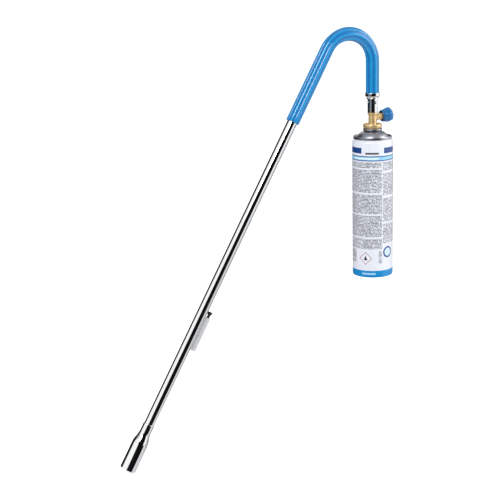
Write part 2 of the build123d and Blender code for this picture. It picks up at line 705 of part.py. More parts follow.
def valve_cup():
    """Crimped cup with its rolled rim and the threaded stud, as a plain pin."""
    curl = CUP_RADIUS - CUP_CURL
    well = CUP_WELL_RADIUS
    stud = THREAD_RADIUS - RUN_GAP
    rim = Pos(0, 0, CUP_TOP_Z - CUP_CURL) * Torus(curl, CUP_CURL)
    pan = turned(
        [
            (STUD_BORE, CUP_FLOOR_Z),
            (well, CUP_FLOOR_Z),
            (well, CUP_TOP_Z - CUP_CURL),
            (well - CUP_WALL, CUP_TOP_Z - CUP_CURL),
            (well - CUP_WALL, CUP_FLOOR_Z + CUP_WALL),
            (stud, CUP_FLOOR_Z + CUP_WALL),
            (stud, STUD_TOP_Z - STUD_CHAMFER),
            (stud - STUD_CHAMFER, STUD_TOP_Z),
            (STUD_BORE, STUD_TOP_Z),
        ]
    )
    return LEG * (rim + pan)


def can_base():
    """Domed base with its rolled seam, which is the foot that the cartridge stands on."""
    top = SHELL_BOTTOM_Z - SEAT_GAP
    foot = top - BASE_FOOT
    outer = CAN_RADIUS - BASE_IN
    inner = outer - 2 * SEAM_THICK
    seam = ring(outer, inner, foot, top)
    seam = fillet(seam.edges().filter_by(GeomType.CIRCLE).sort_by(Axis.Z)[:2], SEAM_THICK * BASE_ROUND)
    rise = foot + BASE_RISE
    sphere = (inner**2 + (rise - top) ** 2) / (2 * (rise - top))
    bulb = Pos(0, 0, rise - sphere) * (Sphere(sphere) - Sphere(sphere - CAN_WALL))
    cap = bulb & rod(inner + BASE_LAP, top - CAN_WALL, rise + CAN_WALL)
    return LEG * (seam + cap)


def stem_housing():
    top = CUP_FLOOR_Z - SEAT_GAP
    low = top - HOUSING_LENGTH
    tube = ring(HOUSING_RADIUS, HOUSING_RADIUS - HOUSING_WALL, low, top - STEM_SEAL)
    return LEG * (tube + ring(HOUSING_RADIUS, STEM_RADIUS, low, low + HOUSING_WALL))


def stem_seal():
    top = CUP_FLOOR_Z - SEAT_GAP
    return LEG * ring(HOUSING_RADIUS, STEM_RADIUS + RUN_GAP, top - STEM_SEAL + SEAT_GAP, top)


def stem_foot():
    return CUP_FLOOR_Z - STEM_SEAL - 3 * SEAT_GAP - STEM_FLANGE - STEM_REST


def cartridge_stem():
    top = CEILING_Z - PIN_REACH - RUN_GAP
    flange = rod(HOUSING_RADIUS - HOUSING_WALL - RUN_GAP, stem_foot(), stem_foot() + STEM_FLANGE)
    return LEG * (rod(STEM_RADIUS, stem_foot(), top) + flange)


def stem_spring():
    low = CUP_FLOOR_Z - HOUSING_LENGTH + HOUSING_WALL
    radius = HOUSING_RADIUS - HOUSING_WALL - STEM_WIRE - SPRING_GAP
    return LEG * coil(radius, STEM_WIRE / 2, STEM_COILS, low + SEAT_GAP, stem_foot() - SEAT_GAP)


PIECES = [
    lance_tube,
    grip_sleeve,
    grip_ferrule,
    burner_head,
    flame_holder,
    electrode,
    electrode_insulator,
    igniter_housing,
    igniter_plug,
    igniter_terminal,
    piezo_cell,
    piezo_caps,
    igniter_hammer,
    button_spring,
    igniter_collar,
    igniter_button,
    ignition_lead,
    lead_grommet,
    valve_body,
    mount_collar,
    socket_seal,
    opening_pin,
    gas_filter,
    gas_jet,
    valve_spindle,
    spindle_seal,
    gland_nut,
    valve_knob,
    knob_screw,
    can_shell,
    can_dome,
    valve_cup,
    can_base,
    stem_housing,
    stem_seal,
    cartridge_stem,
    stem_spring,
]

os.makedirs("parts", exist_ok=True)
for piece in PIECES:
    export_step(piece(), f"parts/{piece.__name__}.step")
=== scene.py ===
"""Looks of a long-reach gas torch: chromed lance, fluted grip, brass valve, igniter and printed cartridge.

Every place comes from the frame, in metres. Outlines are in millimetres, as (radius, height, rounding)
corners about a piece's own axis. The rounding is how far from a corner its curve starts.
"""

import json
import math

import bmesh
import bpy
from bpy.props import FloatProperty, FloatVectorProperty, IntProperty, PointerProperty
from mathutils import Matrix, Vector


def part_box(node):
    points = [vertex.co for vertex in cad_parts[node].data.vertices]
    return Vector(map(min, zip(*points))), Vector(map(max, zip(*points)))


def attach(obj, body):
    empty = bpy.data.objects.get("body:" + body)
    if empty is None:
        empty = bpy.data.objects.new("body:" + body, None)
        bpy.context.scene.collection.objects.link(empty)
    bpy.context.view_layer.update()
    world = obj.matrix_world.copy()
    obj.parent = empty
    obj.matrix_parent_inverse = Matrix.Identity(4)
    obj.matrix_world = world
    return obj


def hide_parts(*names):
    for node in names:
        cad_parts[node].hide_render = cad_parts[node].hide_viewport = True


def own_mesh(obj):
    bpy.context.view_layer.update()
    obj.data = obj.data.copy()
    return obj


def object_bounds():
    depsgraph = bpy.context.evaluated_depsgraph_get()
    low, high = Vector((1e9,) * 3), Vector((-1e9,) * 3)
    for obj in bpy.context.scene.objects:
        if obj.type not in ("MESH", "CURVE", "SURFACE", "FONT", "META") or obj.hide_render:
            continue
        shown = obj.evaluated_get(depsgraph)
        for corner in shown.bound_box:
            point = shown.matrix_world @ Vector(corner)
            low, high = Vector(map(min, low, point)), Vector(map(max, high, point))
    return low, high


bl_info = {
    "name": "Gas torch looks",
    "version": (1, 0, 0),
    "blender": (4, 5, 0),
    "location": "View3D > Sidebar > Torch",
    "description": "Builds the visible pieces, finishes and stage of a long-reach gas torch",
    "category": "Object",
}

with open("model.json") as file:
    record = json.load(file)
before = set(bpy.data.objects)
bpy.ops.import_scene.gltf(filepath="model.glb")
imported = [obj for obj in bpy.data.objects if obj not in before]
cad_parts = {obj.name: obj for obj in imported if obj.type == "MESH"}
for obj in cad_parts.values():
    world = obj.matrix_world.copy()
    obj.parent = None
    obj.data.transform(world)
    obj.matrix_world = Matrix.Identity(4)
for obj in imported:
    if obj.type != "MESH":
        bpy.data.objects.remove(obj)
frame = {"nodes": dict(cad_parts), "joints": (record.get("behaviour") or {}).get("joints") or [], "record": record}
CAD_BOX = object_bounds()
NODES = frame["nodes"]
MM = 0.001
FULL_TURN = 2 * math.pi
FIT = 0.02  # millimetres between pieces that are pressed or screwed together
SHEET = 0.5  # millimetres, the cartridge's sheet steel


def mm(value):
    """A length in millimetres."""
    return value / MM


def span(node):
    """Size of a node's box along X, Y and Z."""
    low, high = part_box(node)
    return high - low


def named(things, name):
    """The one of the record's mounts or joints that has a name."""
    return next(thing for thing in things if thing["name"] == name)


# The cane's line, worked out from the frame: the lance, the bend and the upright leg.
LANCE_AXIS = -Vector(named(frame["record"]["mounts"], "burner_mouth")["axis"]).normalized()
TILT = math.atan2(LANCE_AXIS.x, LANCE_AXIS.z)
TUBE_RADIUS = span("lance_tube").y / 2
LEG_X = sum(corner.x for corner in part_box("can_shell")) / 2
TUBE_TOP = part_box("lance_tube")[1].z - TUBE_RADIUS
BEND_RADIUS = (LEG_X * LANCE_AXIS.z - TUBE_TOP * LANCE_AXIS.x) / (1 + LANCE_AXIS.z - LANCE_AXIS.x)
BEND_CENTRE = Vector((LEG_X - BEND_RADIUS, 0, TUBE_TOP - BEND_RADIUS))
STRAIGHT = BEND_CENTRE.dot(LANCE_AXIS)
LANCE = Matrix.Rotation(TILT, 4, "Y")
LEG = Matrix.Translation((LEG_X, 0, 0))
KNOB_JOINT = named(frame["joints"], "knob_turn")
KNOB_AXIS = Vector(KNOB_JOINT["axis"]).normalized()
SPINDLE_DOWN = (KNOB_AXIS * KNOB_AXIS.z - Vector((0, 0, 1))).normalized()
SPINDLE_FRAME = Matrix((SPINDLE_DOWN, KNOB_AXIS.cross(SPINDLE_DOWN), KNOB_AXIS)).transposed().to_4x4()
SPINDLE = Matrix.Translation(KNOB_JOINT["pos_m"]) @ SPINDLE_FRAME  # +X points down


def extent(node, place):
    """Lowest and highest height and largest radius, in millimetres, of a node about a place's Z axis."""
    inverse = place.inverted()
    corners = [inverse @ v.co / MM for v in NODES[node].data.vertices]
    heights = [corner.z for corner in corners]
    return min(heights), max(heights), max(corner.xy.length for corner in corners)


def lance_start(node):
    """Distance up the lance at which a node that follows the cane begins."""
    before_bend = BEND_CENTRE.x - BEND_RADIUS / 2
    return min(v.co.dot(LANCE_AXIS) for v in NODES[node].data.vertices if v.co.x < before_bend)


def leg_end(node):
    """Height at which a node that follows the cane ends on the leg."""
    return min(v.co.z for v in NODES[node].data.vertices if v.co.x > BEND_CENTRE.x)


def igniter_place():
    """The igniter's own axis, beside the lance."""
    inverse = LANCE.inverted()
    across = [(inverse @ v.co).x for v in NODES["igniter_button"].data.vertices]
    return LANCE @ Matrix.Translation(((min(across) + max(across)) / 2, 0, 0))


IGNITER = igniter_place()

# ---------------------------------------------------------------- sizes and colours


def length(name, description, millimetres):
    return FloatProperty(name=name, description=description, default=millimetres * MM, unit="LENGTH")


def angle(name, description, degrees):
    return FloatProperty(name=name, description=description, default=math.radians(degrees), subtype="ANGLE")


def whole(name, description, number, least=1):
    return IntProperty(name=name, description=description, default=number, min=least)


def colour(name, description, value):
    return FloatVectorProperty(name=name, description=description, subtype="COLOR", size=3, default=value)


class LanceSettings(bpy.types.PropertyGroup):
    wall: length("Tube wall", "Thickness of the lance's wall", 1.0)
    air_holes: whole("Air holes", "Air holes round the neck", 4)
    air_hole_radius: length("Air hole radius", "Radius of each air hole", 2.4)
    air_hole_height: length("Air hole height", "Air holes above the valve's shoulder", 16.0)


class BurnerSettings(bpy.types.PropertyGroup):
    wall: length("Wall", "Thickness of the burner's wall", 0.8)
    bell: length("Bell", "Length of the cylindrical mouth", 46.0)
    taper: length("Taper", "Length of the taper above the bell", 13.6)
    holes: whole("Holes", "Air holes round the taper", 6)
    hole_radius: length("Hole radius", "Radius of each hole in the taper", 1.3)


class GripSettings(bpy.types.PropertyGroup):
    flutes: whole("Flutes", "Grooves round the sleeve", 8, least=3)
    depth: length("Depth", "Depth of a groove", 1.15)
    colour: colour("Colour", "Sleeve colour", (0.006, 0.300, 0.640))
    # The groove colour is painted shade: the sleeve's finish darkens towards it down in the flutes.
    groove: colour("Groove", "Colour in the grooves", (0.002, 0.135, 0.400))


class ValveSettings(bpy.types.PropertyGroup):
    column: length("Column", "Radius of the valve's column", 6.5)
    groove: length("Groove", "Radius at the groove under the shoulder", 5.4)
    thread: length("Thread", "Radius of the cartridge's thread", 5.5)
    thread_depth: length("Thread depth", "Depth of the cartridge's socket", 9.8)
    boss: length("Boss", "Radius of the spindle's boss", 4.5)
    boss_end: length("Boss end", "End of the boss along the spindle", 12.0)
    nut: length("Nut", "Gland nut across its flats", 10.0)


class KnobSettings(bpy.types.PropertyGroup):
    flutes: whole("Flutes", "Finger grooves round the knob", 8, least=3)
    depth: length("Depth", "Depth of a groove", 1.9)
    hollow: length("Hollow", "Radius of the hollow in its back", 7.2)
    hollow_depth: length("Hollow depth", "Depth of the hollow in its back", 6.5)
    colour: colour("Colour", "Knob colour", (0.008, 0.170, 0.450))


class IgniterSettings(bpy.types.PropertyGroup):
    wall: length("Wall", "Thickness of the housing", 0.6)
    web: length("Web", "Width of the foot that holds it on the lance", 5.0)


class CanSettings(bpy.types.PropertyGroup):
    neck: length("Neck", "How far the shell necks in under its seam", 2.6)
    band_height: length("Band height", "Height of the band round its base", 9.0)
    ground: colour("Ground", "Printed ground", (0.80, 0.82, 0.89))
    band: colour("Band", "Band round the base", (0.004, 0.255, 0.60))
    line: colour("Line", "Thin lines and bars", (0.008, 0.055, 0.23))
    pale: colour("Pale", "Band between the thin lines", (0.30, 0.63, 0.90))
    ink: colour("Ink", "Rows of small print", (0.085, 0.088, 0.10))


class StageSettings(bpy.types.PropertyGroup):
    azimuth: angle("Azimuth", "Camera direction", 25.5)
    elevation: angle("Elevation", "Camera height", 13.7)
    roll: angle("Roll", "Camera roll", -1.45)
    distance: length("Distance", "Camera to aim point", 1832.0)
    aim: FloatVectorProperty(
        name="Aim", description="Aim point", subtype="XYZ", size=3, default=(0.2156, 0.0, 0.3161)
    )
    lens: FloatProperty(name="Lens", description="Focal length", default=85.9, unit="CAMERA")


SETTINGS = {
    "torch_lance": LanceSettings,
    "torch_burner": BurnerSettings,
    "torch_grip": GripSettings,
    "torch_valve": ValveSettings,
    "torch_knob": KnobSettings,
    "torch_igniter": IgniterSettings,
    "torch_can": CanSettings,
    "torch_stage": StageSettings,
}


# ---------------------------------------------------------------- shader building


def shaded(value, share):
    """A colour with every channel at a share of its strength."""
    return [channel * share for channel in value]


class Graph:
    """Short calls for making nodes in one tree."""

    def __init__(self, tree):
        self.tree = tree

    def node(self, kind, **settings):
        made = self.tree.nodes.new(kind)
        for name, value in settings.items():
            setattr(made, name, value)
        return made

    def feed(self, socket, value):
        if isinstance(value, bpy.types.NodeSocket):
            self.tree.links.new(value, socket)
        elif value is not None:
            socket.default_value = value

    def math(self, operation, a, b=None, c=None):
        made = self.node("ShaderNodeMath", operation=operation)
        for socket, value in zip(made.inputs, (a, b, c)):
            self.feed(socket, value)
        return made.outputs[0]

    def mix(self, mask, a, b):
        made = self.node("ShaderNodeMix", data_type="RGBA")
        self.feed(made.inputs["Factor"], mask)
        for socket, value in ((made.inputs[6], a), (made.inputs[7], b)):
            self.feed(socket, value if isinstance(value, bpy.types.NodeSocket) else (*value[:3], 1.0))
        return made.outputs[2]

    def noise(self, vector, scale, detail=3.0, roughness=0.5):
        made = self.node("ShaderNodeTexNoise")
        given = {"Vector": vector, "Scale": scale, "Detail": detail, "Roughness": roughness}
        for name, value in given.items():
            self.feed(made.inputs[name], value)
        return made.outputs["Fac"]

    def remap(self, value, low, high, to_low=0.0, to_high=1.0):
        made = self.node("ShaderNodeMapRange")
        names = ("Value", "From Min", "From Max", "To Min", "To Max")
        for name, number in zip(names, (value, low, high, to_low, to_high)):
            self.feed(made.inputs[name], number)
        return made.outputs[0]

    def within(self, value, low, high):
        """1 where low < value < high, else 0."""
        above, below = self.math("GREATER_THAN", value, low), self.math("LESS_THAN", value, high)
        return self.math("MULTIPLY", above, below)

    def either(self, masks):
        """1 where any of several masks is."""
        total = masks[0]
        for mask in masks[1:]:
            total = self.math("MAXIMUM", total, mask)
        return total

    def stretched(self, vector, scale):
        """A place scaled along each axis, so that a pattern is squeezed or drawn out."""
        made = self.node("ShaderNodeMapping")
        self.feed(made.inputs["Vector"], vector)
        self.feed(made.inputs["Scale"], scale)
        return made.outputs[0]

    def split(self, vector):
        made = self.node("ShaderNodeSeparateXYZ")
        self.feed(made.inputs[0], vector)
        return made.outputs

    def ramp(self, value, stops):
        """Grey levels at positions from 0 to 1."""
        made = self.node("ShaderNodeValToRGB")
        self.feed(made.inputs[0], value)
        elements = made.color_ramp.elements
        while len(elements) < len(stops):
            elements.new(0.5)
        for element, (position, level) in zip(elements, stops):
            element.position = position
            element.color = (level, level, level, 1.0)
        return made.outputs["Color"]


def new_group(name, inputs, outputs):
    """An empty shader group with named inputs and outputs, and its first nodes."""
    tree = bpy.data.node_groups.new(name, "ShaderNodeTree")
    for label, kind, default in inputs:
        socket = tree.interface.new_socket(label, in_out="INPUT", socket_type=kind)
        if default is not None:
            socket.default_value = default
    for label, kind in outputs:
        tree.interface.new_socket(label, in_out="OUTPUT", socket_type=kind)
    graph = Graph(tree)
    return graph, graph.node("NodeGroupInput"), graph.node("NodeGroupOutput")


def surface_marks():
    """Fine handling marks: a height for bump, and a mask that lifts roughness."""
    graph, given, out = new_group(
        "surface_marks",
        [("Vector", "NodeSocketVector", None), ("Scale", "NodeSocketFloat", 400.0)],
        [("Height", "NodeSocketFloat"), ("Mask", "NodeSocketFloat")],
    )
    graph.feed(out.inputs["Height"], graph.noise(given.outputs["Vector"], given.outputs["Scale"], 4.0, 0.6))
    broad = graph.noise(given.outputs["Vector"], 22.0, 3.0)
    graph.feed(out.inputs["Mask"], graph.remap(broad, 0.35, 0.75))
    return graph.tree


def drawn_lines():
    """Long fine lines along one axis, as drawing or turning leaves them."""
    graph, given, out = new_group(
        "drawn_lines",
        [("Vector", "NodeSocketVector", None)],
        [("Height", "NodeSocketFloat"), ("Mask", "NodeSocketFloat")],
    )
    lines = graph.noise(given.outputs["Vector"], 1.0, 2.0, 0.7)
    graph.feed(out.inputs["Height"], lines)
    graph.feed(out.inputs["Mask"], graph.remap(lines, 0.3, 0.7))
    return graph.tree


GROUPS = {}


def place_group(graph, maker, **values):
    """Places a shared effect, which is built the first time it is asked for."""
    if maker.__name__ not in GROUPS:
        GROUPS[maker.__name__] = maker()
    placed = graph.node("ShaderNodeGroup", node_tree=GROUPS[maker.__name__])
    for name, value in values.items():
        graph.feed(placed.inputs[name], value)
    return placed.outputs["Height"], placed.outputs["Mask"]


def start_material(name, metallic=0.0, roughness=0.4, coat=0.0):
    made = bpy.data.materials.new(name)
    made.use_nodes = True
    graph = Graph(made.node_tree)
    shader = made.node_tree.nodes["Principled BSDF"]
    shader.inputs["Metallic"].default_value = metallic
    shader.inputs["Roughness"].default_value = roughness
    shader.inputs["Coat Weight"].default_value = coat
    shader.inputs["Coat Roughness"].default_value = 0.06
    place = graph.node("ShaderNodeTexCoord").outputs["Object"]
    return made, graph, shader, place


def add_bump(graph, shader, height, strength):
    bump = graph.node("ShaderNodeBump")
    graph.feed(bump.inputs["Strength"], strength)
    graph.feed(bump.inputs["Distance"], 0.05 * MM)
    graph.feed(bump.inputs["Height"], height)
    graph.feed(shader.inputs["Normal"], bump.outputs["Normal"])


def marked_finish(name, colour, shade, metallic, roughness, worn, scale, strength, coat=0.0):
    """A finish of one colour that varies softly to another, with fine marks in gloss and height."""
    made, graph, shader, place = start_material(name, metallic, roughness, coat)
    height, mask = place_group(graph, surface_marks, Vector=place, Scale=scale)
    tone = graph.remap(graph.noise(place, 30.0, 4.0), 0.35, 0.65)
    graph.feed(shader.inputs["Base Color"], graph.mix(tone, colour, shade))
    graph.feed(shader.inputs["Roughness"], graph.remap(mask, 0.0, 1.0, roughness, worn))
    add_bump(graph, shader, height, strength)
    return made


def drawn_finish(name, colour, shade, roughness, worn, stretch, strength, metallic=1.0):
    """Bare or plated metal with fine lines; stretch squeezes the pattern along each axis."""
    made, graph, shader, place = start_material(name, metallic, roughness)
    height, mask = place_group(graph, drawn_lines, Vector=graph.stretched(place, stretch))
    graph.feed(shader.inputs["Base Color"], graph.mix(mask, colour, shade))
    graph.feed(shader.inputs["Roughness"], graph.remap(mask, 0.0, 1.0, roughness, worn))
    add_bump(graph, shader, height, strength)
    return made


def grip_finish(settings):
    """Glossy soft sleeve, with painted shade darkening it and duller gloss down in its grooves."""
    made, graph, shader, place = start_material("grip_vinyl", 0.0, 0.16, 0.5)
    groove = graph.node("ShaderNodeAttribute", attribute_name="groove").outputs["Fac"]
    height, mask = place_group(graph, surface_marks, Vector=place, Scale=1400.0)
    tone = graph.remap(graph.noise(place, 40.0, 4.0), 0.3, 0.7)
    body = graph.mix(graph.math("MULTIPLY", tone, 0.25), settings.colour, settings.groove)
    # Painted shade: the colour goes towards the groove colour as the flutes deepen.
    graph.feed(shader.inputs["Base Color"], graph.mix(groove, body, settings.groove))
    dull = graph.math("MULTIPLY", graph.math("ADD", mask, groove), 0.09)
    graph.feed(shader.inputs["Roughness"], graph.math("ADD", dull, 0.16))
    add_bump(graph, shader, height, 0.03)
    return made


# Panels of small print: left and right edge round the can, and each block's lowest and highest height.
PRINT_PANELS = (
    (-72.0, -2.0, ((175.0, 184.0), (135.5, 172.0), (101.5, 132.5), (63.8, 98.8), (44.6, 61.0))),
    (-0.6, 46.0, ((169.5, 184.0), (130.2, 166.6), (88.2, 127.0), (53.4, 85.0))),
    (48.0, 99.0, ((150.0, 184.0), (98.0, 146.0), (56.0, 95.0), (22.0, 52.0))),
    (-99.0, -75.0, ((98.0, 184.0), (22.0, 95.0))),
    (-72.0, -47.0, ((21.0, 42.5),)),
    (-8.2, -2.4, ((31.0, 41.5), (20.0, 29.0))),
)


def print_rows(graph, round_it, up):
    """Broken rows in blocks, which read as small print from a distance and are no lettering close to."""
    pitch, dash = 2.3 * MM, 1.7 * MM
    line = graph.math("DIVIDE", up, pitch)
    inked = graph.within(graph.math("FRACT", line), 0.18, 0.80)
    join = graph.node("ShaderNodeCombineXYZ")
    graph.feed(join.inputs[0], graph.math("DIVIDE", round_it, dash))
    graph.feed(join.inputs[1], graph.math("MULTIPLY", graph.math("FLOOR", line), 7.31))
    words = graph.remap(graph.noise(join.outputs[0], 1.0, 2.0, 0.8), 0.42, 0.50)
    blocks = []
    for left, right, heights in PRINT_PANELS:
        inside = graph.either([graph.within(up, low * MM, high * MM) for low, high in heights])
        blocks.append(graph.math("MULTIPLY", graph.within(round_it, left * MM, right * MM), inside))
    return graph.math("MULTIPLY", graph.math("MULTIPLY", inked, words), graph.either(blocks))


def printed_finish(settings):
    """The cartridge's printing: lines, plain bars, text-like rows, a plain diamond and a plain ring."""
    made, graph, shader, place = start_material("printed_can", 0.0, 0.26, 0.3)
    low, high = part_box("can_shell")
    axes = graph.split(place)
    # Distance round the can from its -Y side, growing towards +X, and height above its base.
    across = graph.math("SUBTRACT", axes["X"], LEG_X)
    turn = graph.math("ARCTAN2", across, graph.math("MULTIPLY", axes["Y"], -1.0))
    round_it = graph.math("MULTIPLY", turn, (high.x - low.x) / 2)
    up = graph.math("SUBTRACT", axes["Z"], low.z)

    def patch(left, right, foot, top):
        beside = graph.within(round_it, left * MM, right * MM)
        return graph.math("MULTIPLY", beside, graph.within(up, foot * MM, top * MM))

    def off(centre, height):
        return graph.math("SUBTRACT", round_it, centre * MM), graph.math("SUBTRACT", up, height * MM)

    tone = graph.remap(graph.noise(place, 18.0, 3.0), 0.3, 0.7)
    faded = graph.math("MULTIPLY", tone, 0.12)
    shown = graph.mix(faded, settings.ground, shaded(settings.ground, 0.86))
    shown = graph.mix(print_rows(graph, round_it, up), shown, settings.ink)
    # Two thin lines with a pale band between them.
    shown = graph.mix(graph.within(up, 187.0 * MM, 192.6 * MM), shown, settings.pale)
    lines = [graph.within(up, foot * MM, (foot + 1.5) * MM) for foot in (185.8, 192.3)]
    shown = graph.mix(graph.either(lines), shown, settings.line)
    # Plain bars where headings stand, and a light dashed strip in the pale band and the base band.
    bars = [patch(-64, -36, 197.5, 206.5), patch(1, 26, 197.5, 206.5), patch(62, 88, 197.5, 206.5)]
    shown = graph.mix(graph.either(bars), shown, settings.line)
    shown = graph.mix(patch(-29.5, -8, 196.4, 199.4), shown, settings.ink)
    shown = graph.mix(patch(-52, -8, 188.4, 191.2), shown, (0.74, 0.88, 0.97))
    shown = graph.mix(graph.math("LESS_THAN", up, settings.band_height), shown, settings.band)
    shown = graph.mix(patch(-35, -13, 2.6, 5.2), shown, (0.40, 0.66, 0.90))
    # Diamond outline with a plain drop in it.
    drop_foot, drop_tip = -3.2 * MM, 4.6 * MM
    beside, above = off(-29.1, 29.3)
    reach = graph.math("ADD", graph.math("ABSOLUTE", beside), graph.math("ABSOLUTE", above))
    shown = graph.mix(graph.within(reach, 9.5 * MM, 10.6 * MM), shown, (0.42, 0.03, 0.03))
    wide = graph.remap(above, drop_foot, drop_tip, 3.0 * MM, 0.0)
    drop = graph.math("LESS_THAN", graph.math("ABSOLUTE", beside), wide)
    drop = graph.math("MULTIPLY", drop, graph.within(above, drop_foot, drop_tip))
    shown = graph.mix(drop, shown, (0.01, 0.01, 0.01))
    # Ring with a pale middle.
    ring_inner, ring_outer = 6.6 * MM, 9.2 * MM
    beside, above = off(9.0, 38.3)
    square = graph.math("ADD", graph.math("POWER", beside, 2.0), graph.math("POWER", above, 2.0))
    far = graph.math("SQRT", square)
    shown = graph.mix(graph.math("LESS_THAN", far, ring_outer), shown, (0.62, 0.80, 0.93))
    shown = graph.mix(graph.within(far, ring_inner, ring_outer), shown, settings.line)
    graph.feed(shader.inputs["Base Color"], shown)
    height, mask = place_group(graph, surface_marks, Vector=place, Scale=900.0)
    graph.feed(shader.inputs["Roughness"], graph.remap(mask, 0.0, 1.0, 0.24, 0.34))
    add_bump(graph, shader, height, 0.04)
    return made


def make_finishes(scene):
    """Every finish, by its name."""
    knob, band = scene.torch_knob.colour, scene.torch_can.band
    chrome, brass, dark = (0.93, 0.94, 0.95), (0.93, 0.68, 0.33), (0.011, 0.011, 0.012)
    steel, satin, tin = (0.62, 0.62, 0.63), (0.74, 0.74, 0.75), (0.52, 0.53, 0.57)
    ceramic, natural, lead = (0.83, 0.81, 0.76), (0.72, 0.70, 0.64), (0.45, 0.02, 0.015)
    # Two colours, metallic, roughness from and to, scale and depth of the marks, and coat.
    marked = {
        "chrome": (chrome, (0.90, 0.91, 0.93), 1.0, 0.035, 0.075, 700.0, 0.012),
        "knob_plastic": (knob, shaded(knob, 0.75), 0.0, 0.20, 0.32, 1100.0, 0.05, 0.4),
        "brass": (brass, shaded(brass, 0.86), 0.6, 0.24, 0.36, 900.0, 0.05),
        "dark_plastic": (dark, shaded(dark, 2.5), 0.0, 0.38, 0.55, 900.0, 0.25),
        "base_band": (band, shaded(band, 0.8), 0.0, 0.25, 0.36, 900.0, 0.06, 0.35),
        "seal_rubber": (shaded(dark, 1.8), shaded(dark, 3), 0.0, 0.55, 0.7, 1200.0, 0.3),
        "ceramic": (ceramic, shaded(ceramic, 0.88), 0.0, 0.22, 0.32, 700.0, 0.06, 0.3),
        "natural_plastic": (natural, shaded(natural, 0.88), 0.0, 0.38, 0.5, 800.0, 0.15),
        "lead_sleeve": (lead, shaded(lead, 0.8), 0.0, 0.42, 0.55, 900.0, 0.15),
    }
    # Two colours, roughness from and to, scale of the lines along each axis, their depth, and metallic.
    drawn = {
        "satin_steel": (satin, (0.60, 0.60, 0.62), 0.42, 0.55, (300, 2600, 300), 0.25, 0.3),
        "bare_steel": (steel, (0.48, 0.48, 0.50), 0.26, 0.42, (900, 900, 2600), 0.20),
        "tinplate": (tin, shaded(tin, 0.84), 0.30, 0.42, (160, 160, 2600), 0.06),
    }
    made = {name: marked_finish(name, *values) for name, values in marked.items()}
    made.update({name: drawn_finish(name, *values) for name, values in drawn.items()})
    made["grip_vinyl"] = grip_finish(scene.torch_grip)
    made["printed_can"] = printed_finish(scene.torch_can)
    return made


FINISHES = {}
SLOT_FINISH = {
    "chrome": "chrome",
    "grip_blue": "grip_vinyl",
    "knob_blue": "knob_plastic",
    "brass": "brass",
    "steel": "bare_steel",
    "satin_steel": "satin_steel",
    "printed_steel": "printed_can",
    "base_paint": "base_band",
    "tinplate": "tinplate",
    "inner_plastic": "natural_plastic",
    "black_plastic": "dark_plastic",
    "white_ceramic": "ceramic",
    "lead_insulation": "lead_sleeve",
    "seal_rubber": "seal_rubber",
}
NODE_SLOT = {part["node"]: part["material_slot"] for part in frame["record"]["subparts"]}


# ---------------------------------------------------------------- mesh building


def round_off(shape, geom, width, segments, affect="EDGES"):
    """Rounds edges or corners by a width in millimetres."""
    bmesh.ops.bevel(
        shape, geom=geom, offset=width * MM, offset_type="OFFSET", segments=segments, profile=0.5,
        affect=affect, clamp_overlap=True, material=-1,
    )


def lathe(corners, steps=96):
    """A closed solid of revolution about Z from (radius, height, rounding) corners."""
    shape = bmesh.new()
    made = [shape.verts.new((r * MM, 0.0, z * MM)) for r, z, _ in corners]
    shape.faces.new(made)
    for size in sorted({corner[2] for corner in corners} - {0}):
        picked = [v for v, corner in zip(made, corners) if corner[2] == size]
        round_off(shape, picked, size, 5, "VERTICES")
    bmesh.ops.delete(shape, geom=list(shape.faces), context="FACES_ONLY")
    bmesh.ops.spin(
        shape, geom=list(shape.verts) + list(shape.edges), cent=(0, 0, 0), axis=(0, 0, 1), dvec=(0, 0, 0),
        angle=FULL_TURN, steps=steps, use_merge=True, use_duplicate=False,
    )
    bmesh.ops.remove_doubles(shape, verts=shape.verts, dist=1e-6)
    bmesh.ops.dissolve_degenerate(shape, edges=shape.edges, dist=1e-6)
    on_axis = [e for e in shape.edges if not e.link_faces]
    bmesh.ops.delete(shape, geom=on_axis, context="EDGES")
    bmesh.ops.recalc_face_normals(shape, faces=shape.faces)
    return shape


def rod(radius, low, high, steps=96):
    """A plain round bar about Z."""
    return lathe([(0, low, 0), (radius, low, 0), (radius, high, 0), (0, high, 0)], steps)


def block(size, centre, width):
    """A box of millimetre size about a centre, with rounded edges."""
    shape = bmesh.new()
    bmesh.ops.create_cube(shape, size=1.0)
    bmesh.ops.scale(shape, vec=Vector(size) * MM, verts=shape.verts)
    soften(shape, width)
    bmesh.ops.translate(shape, vec=Vector(centre) * MM, verts=shape.verts)
    return shape


def soften(shape, width):
    """Rounds a closed solid's sharp edges by a width in millimetres."""
    sharpest = math.radians(40.0)
    round_off(shape, [e for e in shape.edges if e.calc_face_angle() > sharpest], width, 3)


def moved(shape, place):
    """The same solid, carried to a place."""
    bmesh.ops.transform(shape, matrix=place, verts=shape.verts)
    return shape


def radial_drills(radius, reach, count, height):
    """Round bars that stand out from Z all round at one height, to cut holes with."""
    bits = bmesh.new()
    for number in range(count):
        turned = Matrix.Rotation(FULL_TURN * number / count, 4, "Z")
        place = Matrix.Translation((0, 0, height * MM)) @ turned
        place = place @ Matrix.Translation((reach * MM / 2 + radius * MM, 0, 0))
        place = place @ Matrix.Rotation(FULL_TURN / 4, 4, "Y")
        bmesh.ops.create_cone(
            bits, cap_ends=True, segments=40, radius1=radius * MM, radius2=radius * MM,
            depth=reach * MM, matrix=place,
        )
    return bits


def combined(shape, other, operation):
    """One solid with another joined to it, cut from it or kept in common; both are used up."""
    solids = []
    for part in (shape, other):
        mesh = bpy.data.meshes.new("solid")
        part.to_mesh(mesh)
        part.free()
        solids.append(bpy.data.objects.new("solid", mesh))
        bpy.context.scene.collection.objects.link(solids[-1])
    join = solids[0].modifiers.new("join", "BOOLEAN")
    join.operation = operation
    join.solver = "EXACT"
    join.object = solids[1]
    result = bmesh.new()
    result.from_object(solids[0], bpy.context.evaluated_depsgraph_get())
    for solid in solids:
        bpy.data.meshes.remove(solid.data)
    bmesh.ops.remove_doubles(result, verts=result.verts, dist=1e-6)
    return result


